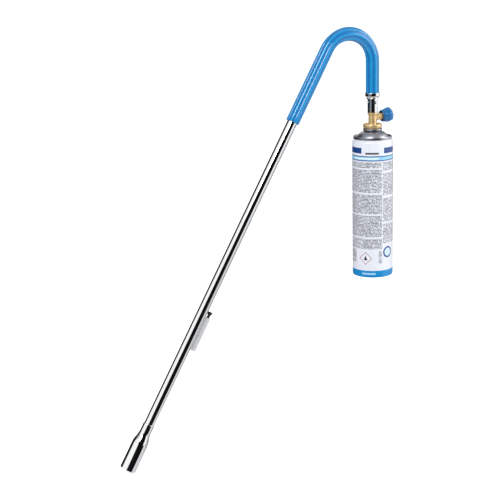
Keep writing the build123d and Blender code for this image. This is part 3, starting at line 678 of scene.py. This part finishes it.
def finish_piece(shape, name, body, node, place=None, sharp=35.0):
    """Makes a placed, riding object of a bmesh that stands for one CAD node, in the finish of its slot."""
    if not shape.faces:
        raise RuntimeError(f"{name} has no faces")
    bmesh.ops.recalc_face_normals(shape, faces=shape.faces)
    if place is not None:
        moved(shape, place)
    mesh = bpy.data.meshes.new(name)
    shape.to_mesh(mesh)
    shape.free()
    made = bpy.data.objects.new(name, mesh)
    bpy.context.scene.collection.objects.link(made)
    mesh.materials.append(FINISHES[SLOT_FINISH[NODE_SLOT[node]]])
    mesh.shade_smooth()
    mesh.set_sharp_from_angle(angle=math.radians(sharp))
    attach(made, body)
    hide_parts(node)
    return made


def cane_skin(shape, start, tail, segments, radius, leg_steps=4):
    """Carries a ring of radius(angle) up the lance, round the bend and down the leg; gives its end rings."""
    made = bmesh.ops.create_circle(shape, segments=segments, radius=1.0)["verts"]
    for corner in made:
        corner.co *= radius(math.atan2(corner.co.y, corner.co.x))
    first = [e for e in shape.edges if all(v in made for v in e.verts)]
    bmesh.ops.transform(shape, matrix=LANCE @ Matrix.Translation((0, 0, start)), verts=made)

    def carry(edges, move):
        grown = bmesh.ops.extrude_edge_only(shape, edges=edges)["geom"]
        corners = [g for g in grown if isinstance(g, bmesh.types.BMVert)]
        bmesh.ops.translate(shape, verts=corners, vec=move)
        known = set(corners)
        return [g for g in grown if isinstance(g, bmesh.types.BMEdge) and known.issuperset(g.verts)]

    edges = first
    lance_steps, bend_steps = 12, 72
    for _ in range(lance_steps):
        edges = carry(edges, LANCE_AXIS * (STRAIGHT - start) / lance_steps)
    last = bmesh.ops.spin(
        shape, geom=edges + list({v for e in edges for v in e.verts}), cent=BEND_CENTRE, axis=(0, 1, 0),
        dvec=(0, 0, 0), angle=math.pi - TILT, steps=bend_steps, use_merge=False, use_duplicate=False,
    )["geom_last"]
    edges = [g for g in last if isinstance(g, bmesh.types.BMEdge)]
    for _ in range(leg_steps):
        edges = carry(edges, Vector((0, 0, (tail - BEND_CENTRE.z) / leg_steps)))
    return first, edges


def cane_tube(start, tail, segments, outer, inner, rounding, leg_steps=4):
    """A closed tube along the cane between two skins, with its ends rounded."""
    shape = bmesh.new()
    skins = [cane_skin(shape, start, tail, segments, radius, leg_steps) for radius in (outer, inner)]
    rings = [[{v for e in edges for v in e.verts} for edges in skin] for skin in skins]
    for end in (0, 1):
        grown = bmesh.ops.extrude_edge_only(shape, edges=skins[1][end])["geom"]
        corners = [g for g in grown if isinstance(g, bmesh.types.BMVert)]
        centre = sum((v.co for v in rings[1][end]), Vector()) / segments
        outward = {v: (v.co - centre).normalized() for v in rings[0][end]}
        partners = {c: max(outward, key=lambda v: outward[v].dot(c.co - centre)) for c in corners}
        bmesh.ops.weld_verts(shape, targetmap=partners)
    bmesh.ops.recalc_face_normals(shape, faces=shape.faces)
    rims = [e for e in shape.edges for skin in rings for ring in skin if ring.issuperset(e.verts)]
    round_off(shape, rims, rounding, 3)
    return shape


# ---------------------------------------------------------------- the pieces


class TORCH_OT_finishes(bpy.types.Operator):
    """Make every finish, and give the pieces that keep their CAD mesh theirs"""

    bl_idname = "torch.finishes"
    bl_label = "Make finishes"

    def execute(self, context):
        FINISHES.update(make_finishes(context.scene))
        for node, slot in NODE_SLOT.items():
            mesh = NODES[node].data
            mesh.materials.clear()
            mesh.materials.append(FINISHES[SLOT_FINISH[slot]])
        return {"FINISHED"}


class TORCH_OT_lance(bpy.types.Operator):
    """Build the bent tube, with the air holes in its neck"""

    bl_idname = "torch.lance"
    bl_label = "Build lance"

    def execute(self, context):
        settings = context.scene.torch_lance
        start, tail = lance_start("lance_tube"), leg_end("lance_tube")
        bore = TUBE_RADIUS - settings.wall
        tube = cane_tube(start, tail, 96, lambda angle: TUBE_RADIUS, lambda angle: bore, 0.2, leg_steps=32)
        height = mm(tail + settings.air_hole_height)
        bits = radial_drills(mm(settings.air_hole_radius), mm(TUBE_RADIUS), settings.air_holes, height)
        tube = combined(tube, moved(bits, LEG), "DIFFERENCE")
        finish_piece(tube, "lance", "torch", "lance_tube")
        return {"FINISHED"}


class TORCH_OT_burner(bpy.types.Operator):
    """Build the burner's bell, taper and sleeve"""

    bl_idname = "torch.burner"
    bl_label = "Build burner"

    def execute(self, context):
        settings = context.scene.torch_burner
        low, high, radius = extent("burner_head", LANCE)
        wall, bell, taper = mm(settings.wall), mm(settings.bell), mm(settings.taper)
        bore = mm(TUBE_RADIUS) + FIT
        shell = lathe(
            [
                (radius - wall, low, 0.25), (radius, low, 0.35), (radius, bell, 3.4),
                (bore + wall, bell + taper, 3.4), (bore + wall, high, 0.35), (bore, high, 0.2),
                (bore, bell + taper, 1.0), (radius - wall, bell, 3.0),
            ],
            steps=128,
        )
        bits = radial_drills(mm(settings.hole_radius), radius, settings.holes, bell + taper / 2)
        shell = combined(shell, bits, "DIFFERENCE")
        finish_piece(shell, "burner", "torch", "burner_head", LANCE)
        return {"FINISHED"}


class TORCH_OT_grip(bpy.types.Operator):
    """Build the fluted sleeve over the bend and the ferrule that closes it"""

    bl_idname = "torch.grip"
    bl_label = "Build grip"

    def execute(self, context):
        settings = context.scene.torch_grip
        outer = span("grip_sleeve").y / 2
        inner = TUBE_RADIUS + FIT * MM

        def wave(angle):
            """0 on a ridge and 1 at the bottom of the groove beside it."""
            return (0.5 - 0.5 * math.cos(settings.flutes * angle)) ** 1.5

        start, tail = lance_start("grip_sleeve"), leg_end("grip_sleeve")
        sleeve = cane_tube(
            start, tail, settings.flutes * 20, lambda angle: outer - settings.depth * wave(angle),
            lambda angle: inner, 0.7, leg_steps=6,
        )
        made = finish_piece(sleeve, "grip", "torch", "grip_sleeve", sharp=60.0)
        # Depth into the flutes, from which the sleeve's finish paints shade in its grooves.
        depths = made.data.attributes.new("groove", "FLOAT", "POINT")
        for corner, depth in zip(made.data.vertices, depths.data):
            depth.value = min(1.0, max(0.0, (outer - cane_distance(corner.co)) / settings.depth))
        self.make_ferrule()
        return {"FINISHED"}

    def make_ferrule(self):
        low, high, rim = extent("grip_ferrule", LEG)
        bore, wall = mm(TUBE_RADIUS) + FIT, 0.9
        nose, floor = bore + 1.6, low + 4.2
        cup = lathe(
            [
                (bore, low, 0.2), (nose, low, 0.5), (nose, low + 1.5, 0.5),
                (bore + 1.1, low + 1.9, 0.2), (rim, floor, 1.0), (rim, high, 0.4),
                (rim - wall, high, 0.3), (rim - wall, floor, 0.2), (bore, floor, 0.1),
            ],
        )
        finish_piece(cup, "ferrule", "torch", "grip_ferrule", LEG)


def cane_distance(point):
    """How far a point lies from the cane's line."""
    if point.dot(LANCE_AXIS) < STRAIGHT and point.x < BEND_CENTRE.x:
        return (point - LANCE_AXIS * point.dot(LANCE_AXIS)).length
    if point.z < BEND_CENTRE.z:
        return math.hypot(point.x - LEG_X, point.y)
    out = Vector((point.x - BEND_CENTRE.x, point.z - BEND_CENTRE.z)).length
    return math.hypot(out - BEND_RADIUS, point.y)


SOCKET_RADIUS = 8.5  # millimetres, the foot of the valve, which the collar fits round
SPINDLE_BORE = 2.05  # clearance for the spindle
GLAND_BORE = 3.45  # where the nut's nose goes in


class TORCH_OT_valve(bpy.types.Operator):
    """Build the valve's body, the dished collar under it and the gland nut"""

    bl_idname = "torch.valve"
    bl_label = "Build valve"

    def execute(self, context):
        settings = context.scene.torch_valve
        self.make_body(settings)
        self.make_collar()
        self.make_nut(settings)
        return {"FINISHED"}

    def make_body(self, settings):
        bottom, top, _ = extent("valve_body", LEG)
        shoulder = mm(leg_end("lance_tube")) - FIT
        collar_high = extent("mount_collar", LEG)[1]
        thread, ceiling = mm(settings.thread), bottom + mm(settings.thread_depth)
        column, groove = mm(settings.column), mm(settings.groove)
        port, port_end = 2.5, ceiling + 2.3
        cut_low, cut_high = shoulder - 5.2, shoulder - 4.2
        pocket, pocket_floor = 4.2, top - 10.4
        spigot = mm(TUBE_RADIUS) - 1.0 - FIT
        flare = spigot + 0.9
        foot = collar_high - 2.0
        body = lathe(
            [
                (0, port_end, 0), (port, port_end, 0), (port, ceiling, 0.2), (thread, ceiling, 0.2),
                (thread, bottom, 0.5), (SOCKET_RADIUS, bottom, 0.5), (SOCKET_RADIUS, foot, 0.5),
                (column + 0.5, foot + 0.4, 0.3), (column, foot + 1.6, 0.6), (column, cut_low, 0.35),
                (groove, cut_low, 0.1), (groove, cut_high, 0.1), (column + 0.5, cut_high, 0.3),
                (flare, shoulder - 3.2, 0.6), (flare, shoulder, 0.35), (spigot, shoulder, 0),
                (spigot, top, 0.3), (pocket, top, 0.2), (pocket, pocket_floor, 0.2),
                (0, pocket_floor, 0),
            ],
        )
        body = moved(body, LEG)
        radius, end = mm(settings.boss), mm(settings.boss_end)
        lip = radius + 0.5
        boss = lathe(
            [
                (0, 0, 0), (radius, 0, 0.1), (radius, end - 1.6, 0.2),
                (lip, end - 1.2, 0.3), (lip, end, 0.3), (0, end, 0),
            ],
        )
        body = combined(body, moved(boss, SPINDLE), "UNION")
        rib = block((9.0, 3.6, 9.0), (0, 0, 0), 0.8)
        slant = Matrix.Rotation(math.radians(45), 4, "Y")
        rib = moved(rib, Matrix.Translation((2.4 * MM, 0, 4.6 * MM)) @ slant)
        body = combined(body, moved(rib, SPINDLE), "UNION")
        seat, seat_end, stem_end = 0.8, 2.8, 6.5
        bores = lathe(
            [
                (0, -1, 0), (seat, -1, 0), (seat, seat_end, 0),
                (SPINDLE_BORE, seat_end, 0), (SPINDLE_BORE, stem_end, 0),
                (GLAND_BORE, stem_end, 0), (GLAND_BORE, end + 1, 0), (0, end + 1, 0),
            ],
            steps=48,
        )
        body = combined(body, moved(bores, SPINDLE), "DIFFERENCE")
        finish_piece(body, "valve_casting", "torch", "valve_body")

    def make_collar(self):
        low, high, rim = extent("mount_collar", LEG)
        bore, dish = SOCKET_RADIUS + FIT, high - 2.8
        ring = lathe(
            [
                (bore, low, 0.3), (rim - 1.0, low, 0.8), (rim, low + 1.6, 1.2), (rim, high, 2.2),
                (rim - 2.8, high, 0.9), (bore + 1.6, dish, 1.2), (bore, dish, 0.2),
            ],
            steps=128,
        )
        finish_piece(ring, "collar", "torch", "mount_collar", LEG)

    def make_nut(self, settings):
        low, high, _ = extent("gland_nut", SPINDLE)
        face, across = mm(settings.boss_end) + FIT, mm(settings.nut)
        head = bmesh.new()
        bmesh.ops.create_circle(
            head, cap_ends=True, segments=6, radius=across * MM / math.sqrt(3),
            matrix=Matrix.Translation((0, 0, face * MM)),
        )
        grown = bmesh.ops.extrude_face_region(head, geom=list(head.faces))["geom"]
        corners = [g for g in grown if isinstance(g, bmesh.types.BMVert)]
        bmesh.ops.translate(head, vec=(0, 0, (high - face) * MM), verts=corners)
        bmesh.ops.recalc_face_normals(head, faces=head.faces)
        soften(head, 0.3)
        widest, rim = 5.7, 4.2
        crown = lathe(
            [
                (0, face - 1, 0), (widest, face - 1, 0),
                (widest, high - 1.2, 0.8), (rim, high, 0.6), (0, high, 0),
            ],
        )
        head = combined(head, crown, "INTERSECT")
        thin, overlap = GLAND_BORE - FIT, face + 0.5
        nose = lathe([(0, low, 0), (thin, low, 0.2), (thin, overlap, 0), (0, overlap, 0)], steps=48)
        head = combined(head, nose, "UNION")
        head = combined(head, rod(SPINDLE_BORE, low - 1, high + 1, steps=48), "DIFFERENCE")
        finish_piece(head, "nut", "torch", "gland_nut", SPINDLE)


class TORCH_OT_knob(bpy.types.Operator):
    """Build the lobed knob and the screw that holds it"""

    bl_idname = "torch.knob"
    bl_label = "Build knob"

    def execute(self, context):
        settings = context.scene.torch_knob
        back, front, radius = extent("valve_knob", SPINDLE)
        hollow, floor = mm(settings.hollow), back + mm(settings.hollow_depth)
        small, crown, seat = 8.9, front - 6.0, front - 2.2
        recess, screw_bore, socket = 3.05, 1.05, 2.55
        side_steps = 8
        side = [
            (small + (radius - small) * n / side_steps, back + (crown - back) * n / side_steps, 0)
            for n in range(1, side_steps)
        ]
        blank = lathe(
            [
                (hollow, back, 0.5), (small, back, 0.6), *side, (radius, crown, 1.6),
                (radius - 0.8, front, 2.8), (3.6, front, 0.4), (recess, front - 0.4, 0.2),
                (recess, seat, 0.1), (screw_bore, seat, 0), (screw_bore, seat - 1.0, 0),
                (socket, seat - 1.0, 0), (socket, floor, 0.2), (hollow, floor, 1.2),
            ],
            steps=settings.flutes * 20,
        )
        # The grooves start softly above the back and leave the hollow round.
        for corner in blank.verts:
            reach = corner.co.xy.length
            if reach > (hollow + 0.6) * MM or corner.co.z > crown * MM:
                rise = min(1.0, max(0.0, (mm(corner.co.z) - back - 2.0) / 6.0))
                rise = rise * rise * (3 - 2 * rise) * min(1.0, reach / (radius * MM)) ** 2
                angle = math.atan2(corner.co.y, corner.co.x)
                groove = (0.5 - 0.5 * math.cos(settings.flutes * angle)) ** 0.85
                corner.co.xy *= 1 - settings.depth * rise * groove / reach
        finish_piece(blank, "knob", "knob", "valve_knob", SPINDLE, sharp=50.0)
        self.make_screw(seat)
        return {"FINISHED"}

    def make_screw(self, seat):
        low, high, radius = extent("knob_screw", SPINDLE)
        head = lathe(
            [
                (0, low, 0), (1.0, low, 0.2), (1.0, seat + FIT, 0.1), (radius, seat + FIT, 0.1),
                (radius, high - 0.5, 0.5), (radius - 1.1, high, 0.6), (0, high, 0),
            ],
            steps=64,
        )
        slot = block((9.0, 0.8, 1.6), (0, 0, high), 0.1)
        head = combined(head, slot, "DIFFERENCE")
        finish_piece(head, "screw", "knob", "knob_screw", SPINDLE)


BUTTON_NECK = 2.3  # millimetres, radius of the button where it passes its collar


class TORCH_OT_igniter(bpy.types.Operator):
    """Build the igniter's housing, its collar and its button"""

    bl_idname = "torch.igniter"
    bl_label = "Build igniter"

    def execute(self, context):
        settings = context.scene.torch_igniter
        low, high, collar = extent("igniter_collar", IGNITER)
        self.make_housing(settings, collar + FIT + mm(settings.wall), high)
        self.make_collar(low, high, collar)
        self.make_button()
        return {"FINISHED"}

    def make_housing(self, settings, outer, top):
        bottom = extent("igniter_housing", LANCE)[0]
        beside = mm((LANCE.inverted() @ IGNITER).translation.x)
        bore = outer - mm(settings.wall)
        body = lathe(
            [
                (0, bottom, 0), (outer - 0.1, bottom, 0.3), (outer - 0.1, top - 2.6, 0.1),
                (outer, top - 2.3, 0.1), (outer, top, 0.3), (0, top, 0),
            ],
        )
        tube = mm(TUBE_RADIUS) + FIT
        overlap = 1.2
        depth = beside - tube + overlap
        centre = (-beside + tube - overlap + depth / 2, 0, (top + bottom) / 2)
        web = block((depth, mm(settings.web), top - bottom), centre, 0.5)
        body = combined(body, web, "UNION")
        body = combined(body, rod(bore, bottom - 1, top + 1), "DIFFERENCE")
        lance = moved(rod(tube, bottom - 1, top + 1), Matrix.Translation((-beside * MM, 0, 0)))
        body = combined(body, lance, "DIFFERENCE")
        finish_piece(body, "igniter_case", "torch", "igniter_housing", IGNITER)

    def make_collar(self, low, high, collar):
        bore = BUTTON_NECK + 0.05
        ring = lathe(
            [(bore, low, 0.15), (collar, low, 0.2), (collar, high, 0.3), (bore, high, 0.3)], steps=64
        )
        finish_piece(ring, "button_guide", "torch", "igniter_collar", IGNITER)

    def make_button(self):
        low, high, flange = extent("igniter_button", IGNITER)
        cap = flange - 0.15
        skirt, flange_top, neck_top = cap - 0.9, low + 3.0, high - 4.8
        button = lathe(
            [
                (0, low, 0), (flange, low, 0.2), (flange, flange_top, 0.2),
                (BUTTON_NECK, flange_top, 0.1), (BUTTON_NECK, neck_top, 0.1), (skirt, high - 4.5, 0.1),
                (skirt, high - 3.4, 0.3), (cap, high - 2.6, 0.4), (cap, high - 0.6, 0.5),
                (cap - 1.2, high, 0.8), (0, high - 0.2, 0),
            ],
            steps=64,
        )
        finish_piece(button, "button", "button", "igniter_button", IGNITER)


class TORCH_OT_springs(bpy.types.Operator):
    """Give the button's and the stem's springs finished copies of their CAD coils, riding on their bodies"""

    bl_idname = "torch.springs"
    bl_label = "Make springs"

    def execute(self, context):
        self.squeeze("button_spring", "button_coil", "torch", "button_press", IGNITER)
        self.squeeze("stem_spring", "stem_coil", "cartridge_feed", "stem_press", LEG)
        return {"FINISHED"}

    def squeeze(self, node, name, body, joint, place):
        """A copy of the spring, in the finish of its slot, riding on a body."""
        coil = bmesh.new()
        coil.from_mesh(NODES[node].data)
        bmesh.ops.remove_doubles(coil, verts=coil.verts, dist=1e-6)
        made = finish_piece(coil, name, body, node)
        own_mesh(made)


class TORCH_OT_cartridge(bpy.types.Operator):
    """Build the cartridge's shell, dome, valve cup and base"""

    bl_idname = "torch.cartridge"
    bl_label = "Build cartridge"

    def execute(self, context):
        neck = mm(context.scene.torch_can.neck)
        self.make_shell(neck)
        self.make_dome()
        self.make_cup()
        self.make_base()
        return {"FINISHED"}

    def make_shell(self, neck):
        low, high, radius = extent("can_shell", LEG)
        mouth = radius - neck
        shell = lathe(
            [
                (radius - SHEET, low, 0), (radius, low, 0.3), (radius, high - 3.4, 1.6),
                (mouth, high - 0.7, 1.2), (mouth, high, 0.1), (mouth - SHEET, high, 0.1),
                (mouth - SHEET, high - 0.9, 1.0), (radius - SHEET, high - 3.6, 1.4),
            ],
            steps=192,
        )
        finish_piece(shell, "can_body", "cartridge", "can_shell", LEG)

    def make_dome(self):
        low, crest, seam = extent("can_dome", LEG)
        mouth, seam_top = 12.45, crest - 8.4
        groove = low + 0.4
        dome = lathe(
            [
                (seam - 1.4, low, 0.2), (seam, low, 0.3), (seam, seam_top, 0.62),
                (seam - 1.35, seam_top, 0.62), (seam - 1.9, groove + SHEET, 0.5),
                (seam - 4.4, groove + SHEET, 0.8), (seam - 5.6, groove + SHEET + 1.6, 1.2),
                (22.4, groove + 7.0, 4.2), (16.4, crest - 1.6, 3.0), (mouth, crest, 0.2),
                (mouth, crest - SHEET, 0.1), (16.2, crest - 2.2, 2.6), (22.0, groove + 6.2, 4.0),
                (seam - 6.1, groove + 1.1, 1.2), (seam - 4.9, groove, 0.8), (seam - 1.4, groove, 0.1),
            ],
            steps=192,
        )
        finish_piece(dome, "can_top", "cartridge", "can_dome", LEG)

    def make_cup(self):
        floor, stud_top, rim = extent("valve_cup", LEG)
        curl, wall = 3.8, 0.6
        crest = extent("can_dome", LEG)[1] + curl
        well, stud, bore = rim - curl + wall, 5.45, 2.0
        cup = lathe(
            [
                (bore, floor, 0.1), (well, floor, 1.2), (well, crest - curl + 0.4, 0.8),
                (rim - curl / 2, crest - curl, 0.8), (rim, crest - curl / 2 - 0.6, 1.2),
                (rim, crest - curl / 2 + 0.6, 1.2), (rim - curl / 2, crest, 1.2),
                (well - 0.4, crest - 0.6, 1.2), (well - wall, crest - curl / 2, 1.0),
                (well - wall, floor + wall, 1.0), (stud, floor + wall, 0.4),
                (stud, stud_top - 0.5, 0.2), (stud - 0.5, stud_top, 0.2), (bore, stud_top, 0.2),
            ],
            steps=160,
        )
        finish_piece(cup, "can_cup", "cartridge", "valve_cup", LEG)

    def make_base(self):
        foot, rise, radius = extent("can_base", LEG)
        top, seam = extent("can_shell", LEG)[0] - FIT, 2.6
        turn_in = radius * 0.62  # where the recess turns up from the seam
        base = lathe(
            [
                (radius - 0.3, top, 0.1), (radius, top - 0.3, 0.2), (radius, foot, 0.8),
                (radius - seam, foot, 0.9), (radius - seam - 0.2, top - 0.6, 0.6),
                (turn_in, rise - 2.6, 5.0), (0, rise - SHEET - 0.2, 0), (0, rise, 0),
                (turn_in, rise - 2.0, 5.0), (radius - seam, top, 0.4),
            ],
            steps=192,
        )
        finish_piece(base, "can_foot", "cartridge", "can_base", LEG)


# What a mirror sees round the horizon: grey levels by angle round Z, in turns, where 0.25 is -X, 0.5 is -Y
# and 0.75 is +X. The light strip behind shows at the front only as a hairline at a tube's left edge.
BEHIND = ((0.925, 0.03), (0.935, 0.95), (0.985, 0.95), (0.995, 0.015))
UPPER = (
    (0.0, 0.015), (0.165, 0.02), (0.185, 1.0), (0.372, 1.0), (0.388, 0.004), (0.60, 0.004), (0.62, 0.9),
    (0.76, 0.8), (0.82, 0.40), (0.90, 0.30), *BEHIND,
)
LEVEL = (
    (0.0, 0.015), (0.235, 0.02), (0.27, 0.26), (0.34, 0.20), (0.365, 0.012), (0.555, 0.004), (0.575, 1.0),
    (0.77, 1.0), (0.80, 0.35), (0.88, 0.22), *BEHIND,
)
LOWER = (
    (0.0, 0.015), (0.37, 0.015), (0.39, 0.004), (0.582, 0.004), (0.597, 0.76), (0.66, 0.70), (0.69, 0.46),
    (0.78, 0.40), (0.84, 0.34), (0.90, 0.22), *BEHIND,
)


class TORCH_OT_stage(bpy.types.Operator):
    """Make the floor, the lights, the surround and the camera"""

    bl_idname = "torch.stage"
    bl_label = "Build stage"

    def execute(self, context):
        self.make_floor(context.scene)
        self.make_surround(context.scene)
        self.make_lights(context.scene)
        self.make_camera(context.scene, context.scene.torch_stage)
        context.scene.view_settings.view_transform = "Standard"
        return {"FINISHED"}

    def make_floor(self, scene):
        """A plain white sweep, lit up to the eye so that it meets the surround without a line."""
        shape = bmesh.new()
        bmesh.ops.create_grid(shape, x_segments=2, y_segments=2, size=30.0)
        bmesh.ops.translate(shape, vec=(0, 0, CAD_BOX[0].z - 1 * MM), verts=shape.verts)
        mesh = bpy.data.meshes.new("floor")
        shape.to_mesh(mesh)
        shape.free()
        floor = bpy.data.objects.new("floor", mesh)
        scene.collection.objects.link(floor)
        made, graph, shader, place = start_material("floor_paint", 0.0, 0.9)
        shader.inputs["Specular IOR Level"].default_value = 0.0
        tone = graph.remap(graph.noise(place, 1.3, 3.0), 0.3, 0.7)
        graph.feed(shader.inputs["Base Color"], graph.mix(tone, (0.88, 0.88, 0.88), (0.91, 0.91, 0.91)))
        seen = graph.node("ShaderNodeLightPath").outputs["Is Camera Ray"]
        shader.inputs["Emission Color"].default_value = (1.0, 1.0, 1.0, 1.0)
        graph.feed(shader.inputs["Emission Strength"], graph.math("MULTIPLY", seen, 0.7))
        mesh.materials.append(made)
        floor.visible_glossy = False

    def make_surround(self, scene):
        """White to the eye. A mirror sees flags at three heights, with grey above and light below."""
        world = bpy.data.worlds.new("studio")
        world.use_nodes = True
        scene.world = world
        graph = Graph(world.node_tree)
        back = world.node_tree.nodes["Background"]
        ray = graph.node("ShaderNodeLightPath")
        axes = graph.split(graph.node("ShaderNodeTexCoord").outputs["Generated"])
        turn = graph.math("ARCTAN2", axes["X"], graph.math("MULTIPLY", axes["Y"], -1.0))
        turn = graph.remap(turn, -math.pi, math.pi, 0.0, 1.0)
        upper, level, lower = [graph.ramp(turn, stops) for stops in (UPPER, LEVEL, LOWER)]
        under = graph.mix(graph.remap(axes["Z"], -0.31, -0.27), lower, level)
        room = graph.mix(graph.remap(axes["Z"], -0.03, 0.03), under, upper)
        room = graph.mix(graph.remap(axes["Z"], 0.60, 0.78), room, (0.46, 0.47, 0.50))
        room = graph.mix(graph.remap(axes["Z"], -0.56, -0.68), room, (0.66, 0.67, 0.69))
        soft = graph.mix(ray.outputs["Is Glossy Ray"], (0.60, 0.61, 0.63), room)
        graph.feed(back.inputs["Color"], graph.mix(ray.outputs["Is Camera Ray"], soft, (1.0, 1.0, 1.0)))
        graph.feed(back.inputs["Strength"], 1.0)

    def make_lights(self, scene):
        centre = (CAD_BOX[0] + CAD_BOX[1]) / 2
        for name, offset, size, energy in (
            ("key", Vector((-1.6, -1.4, 1.9)), 1.2, 38.0),
            ("fill", Vector((1.9, -1.2, 0.9)), 1.4, 24.0),
        ):
            data = bpy.data.lights.new(name, "AREA")
            data.size = size
            data.energy = energy
            lamp = bpy.data.objects.new(name, data)
            lamp.location = centre + offset
            lamp.rotation_euler = (-offset).to_track_quat("-Z", "Y").to_euler()
            scene.collection.objects.link(lamp)

    def make_camera(self, scene, settings):
        around, tilt, roll = settings.azimuth, settings.elevation, settings.roll
        level = Vector((math.sin(around), math.cos(around), 0.0))
        forward = level * math.cos(tilt) - Vector((0.0, 0.0, math.sin(tilt)))
        right = Vector((math.cos(around), -math.sin(around), 0.0))
        up = right.cross(forward)
        right, up = right * math.cos(roll) + up * math.sin(roll), up * math.cos(roll) - right * math.sin(roll)
        data = bpy.data.cameras.new("camera")
        data.lens = settings.lens
        data.sensor_width = 36.0
        camera = bpy.data.objects.new("camera", data)
        turn = Matrix((right, up, -forward)).transposed().to_4x4()
        camera.matrix_world = Matrix.Translation(Vector(settings.aim) - forward * settings.distance) @ turn
        scene.collection.objects.link(camera)
        scene.camera = camera


class TORCH_PT_panel(bpy.types.Panel):
    """Lists the torch's operators"""

    bl_idname = "TORCH_PT_panel"
    bl_label = "Gas torch"
    bl_space_type = "VIEW_3D"
    bl_region_type = "UI"
    bl_category = "Torch"

    def draw(self, context):
        for step in STEPS:
            self.layout.operator(step.bl_idname)


STEPS = (
    TORCH_OT_finishes,
    TORCH_OT_lance,
    TORCH_OT_burner,
    TORCH_OT_grip,
    TORCH_OT_valve,
    TORCH_OT_knob,
    TORCH_OT_igniter,
    TORCH_OT_springs,
    TORCH_OT_cartridge,
    TORCH_OT_stage,
)


def register():
    for name, settings in SETTINGS.items():
        bpy.utils.register_class(settings)
        setattr(bpy.types.Scene, name, PointerProperty(type=settings))
    for made in (*STEPS, TORCH_PT_panel):
        bpy.utils.register_class(made)


def unregister():
    for made in reversed((*STEPS, TORCH_PT_panel)):
        bpy.utils.unregister_class(made)
    for name, settings in SETTINGS.items():
        delattr(bpy.types.Scene, name)
        bpy.utils.unregister_class(settings)


def main():
    register()
    for step in STEPS:
        group_name, operator = step.bl_idname.split(".")
        getattr(getattr(bpy.ops, group_name), operator)()


if __name__ == "__main__":
    main()
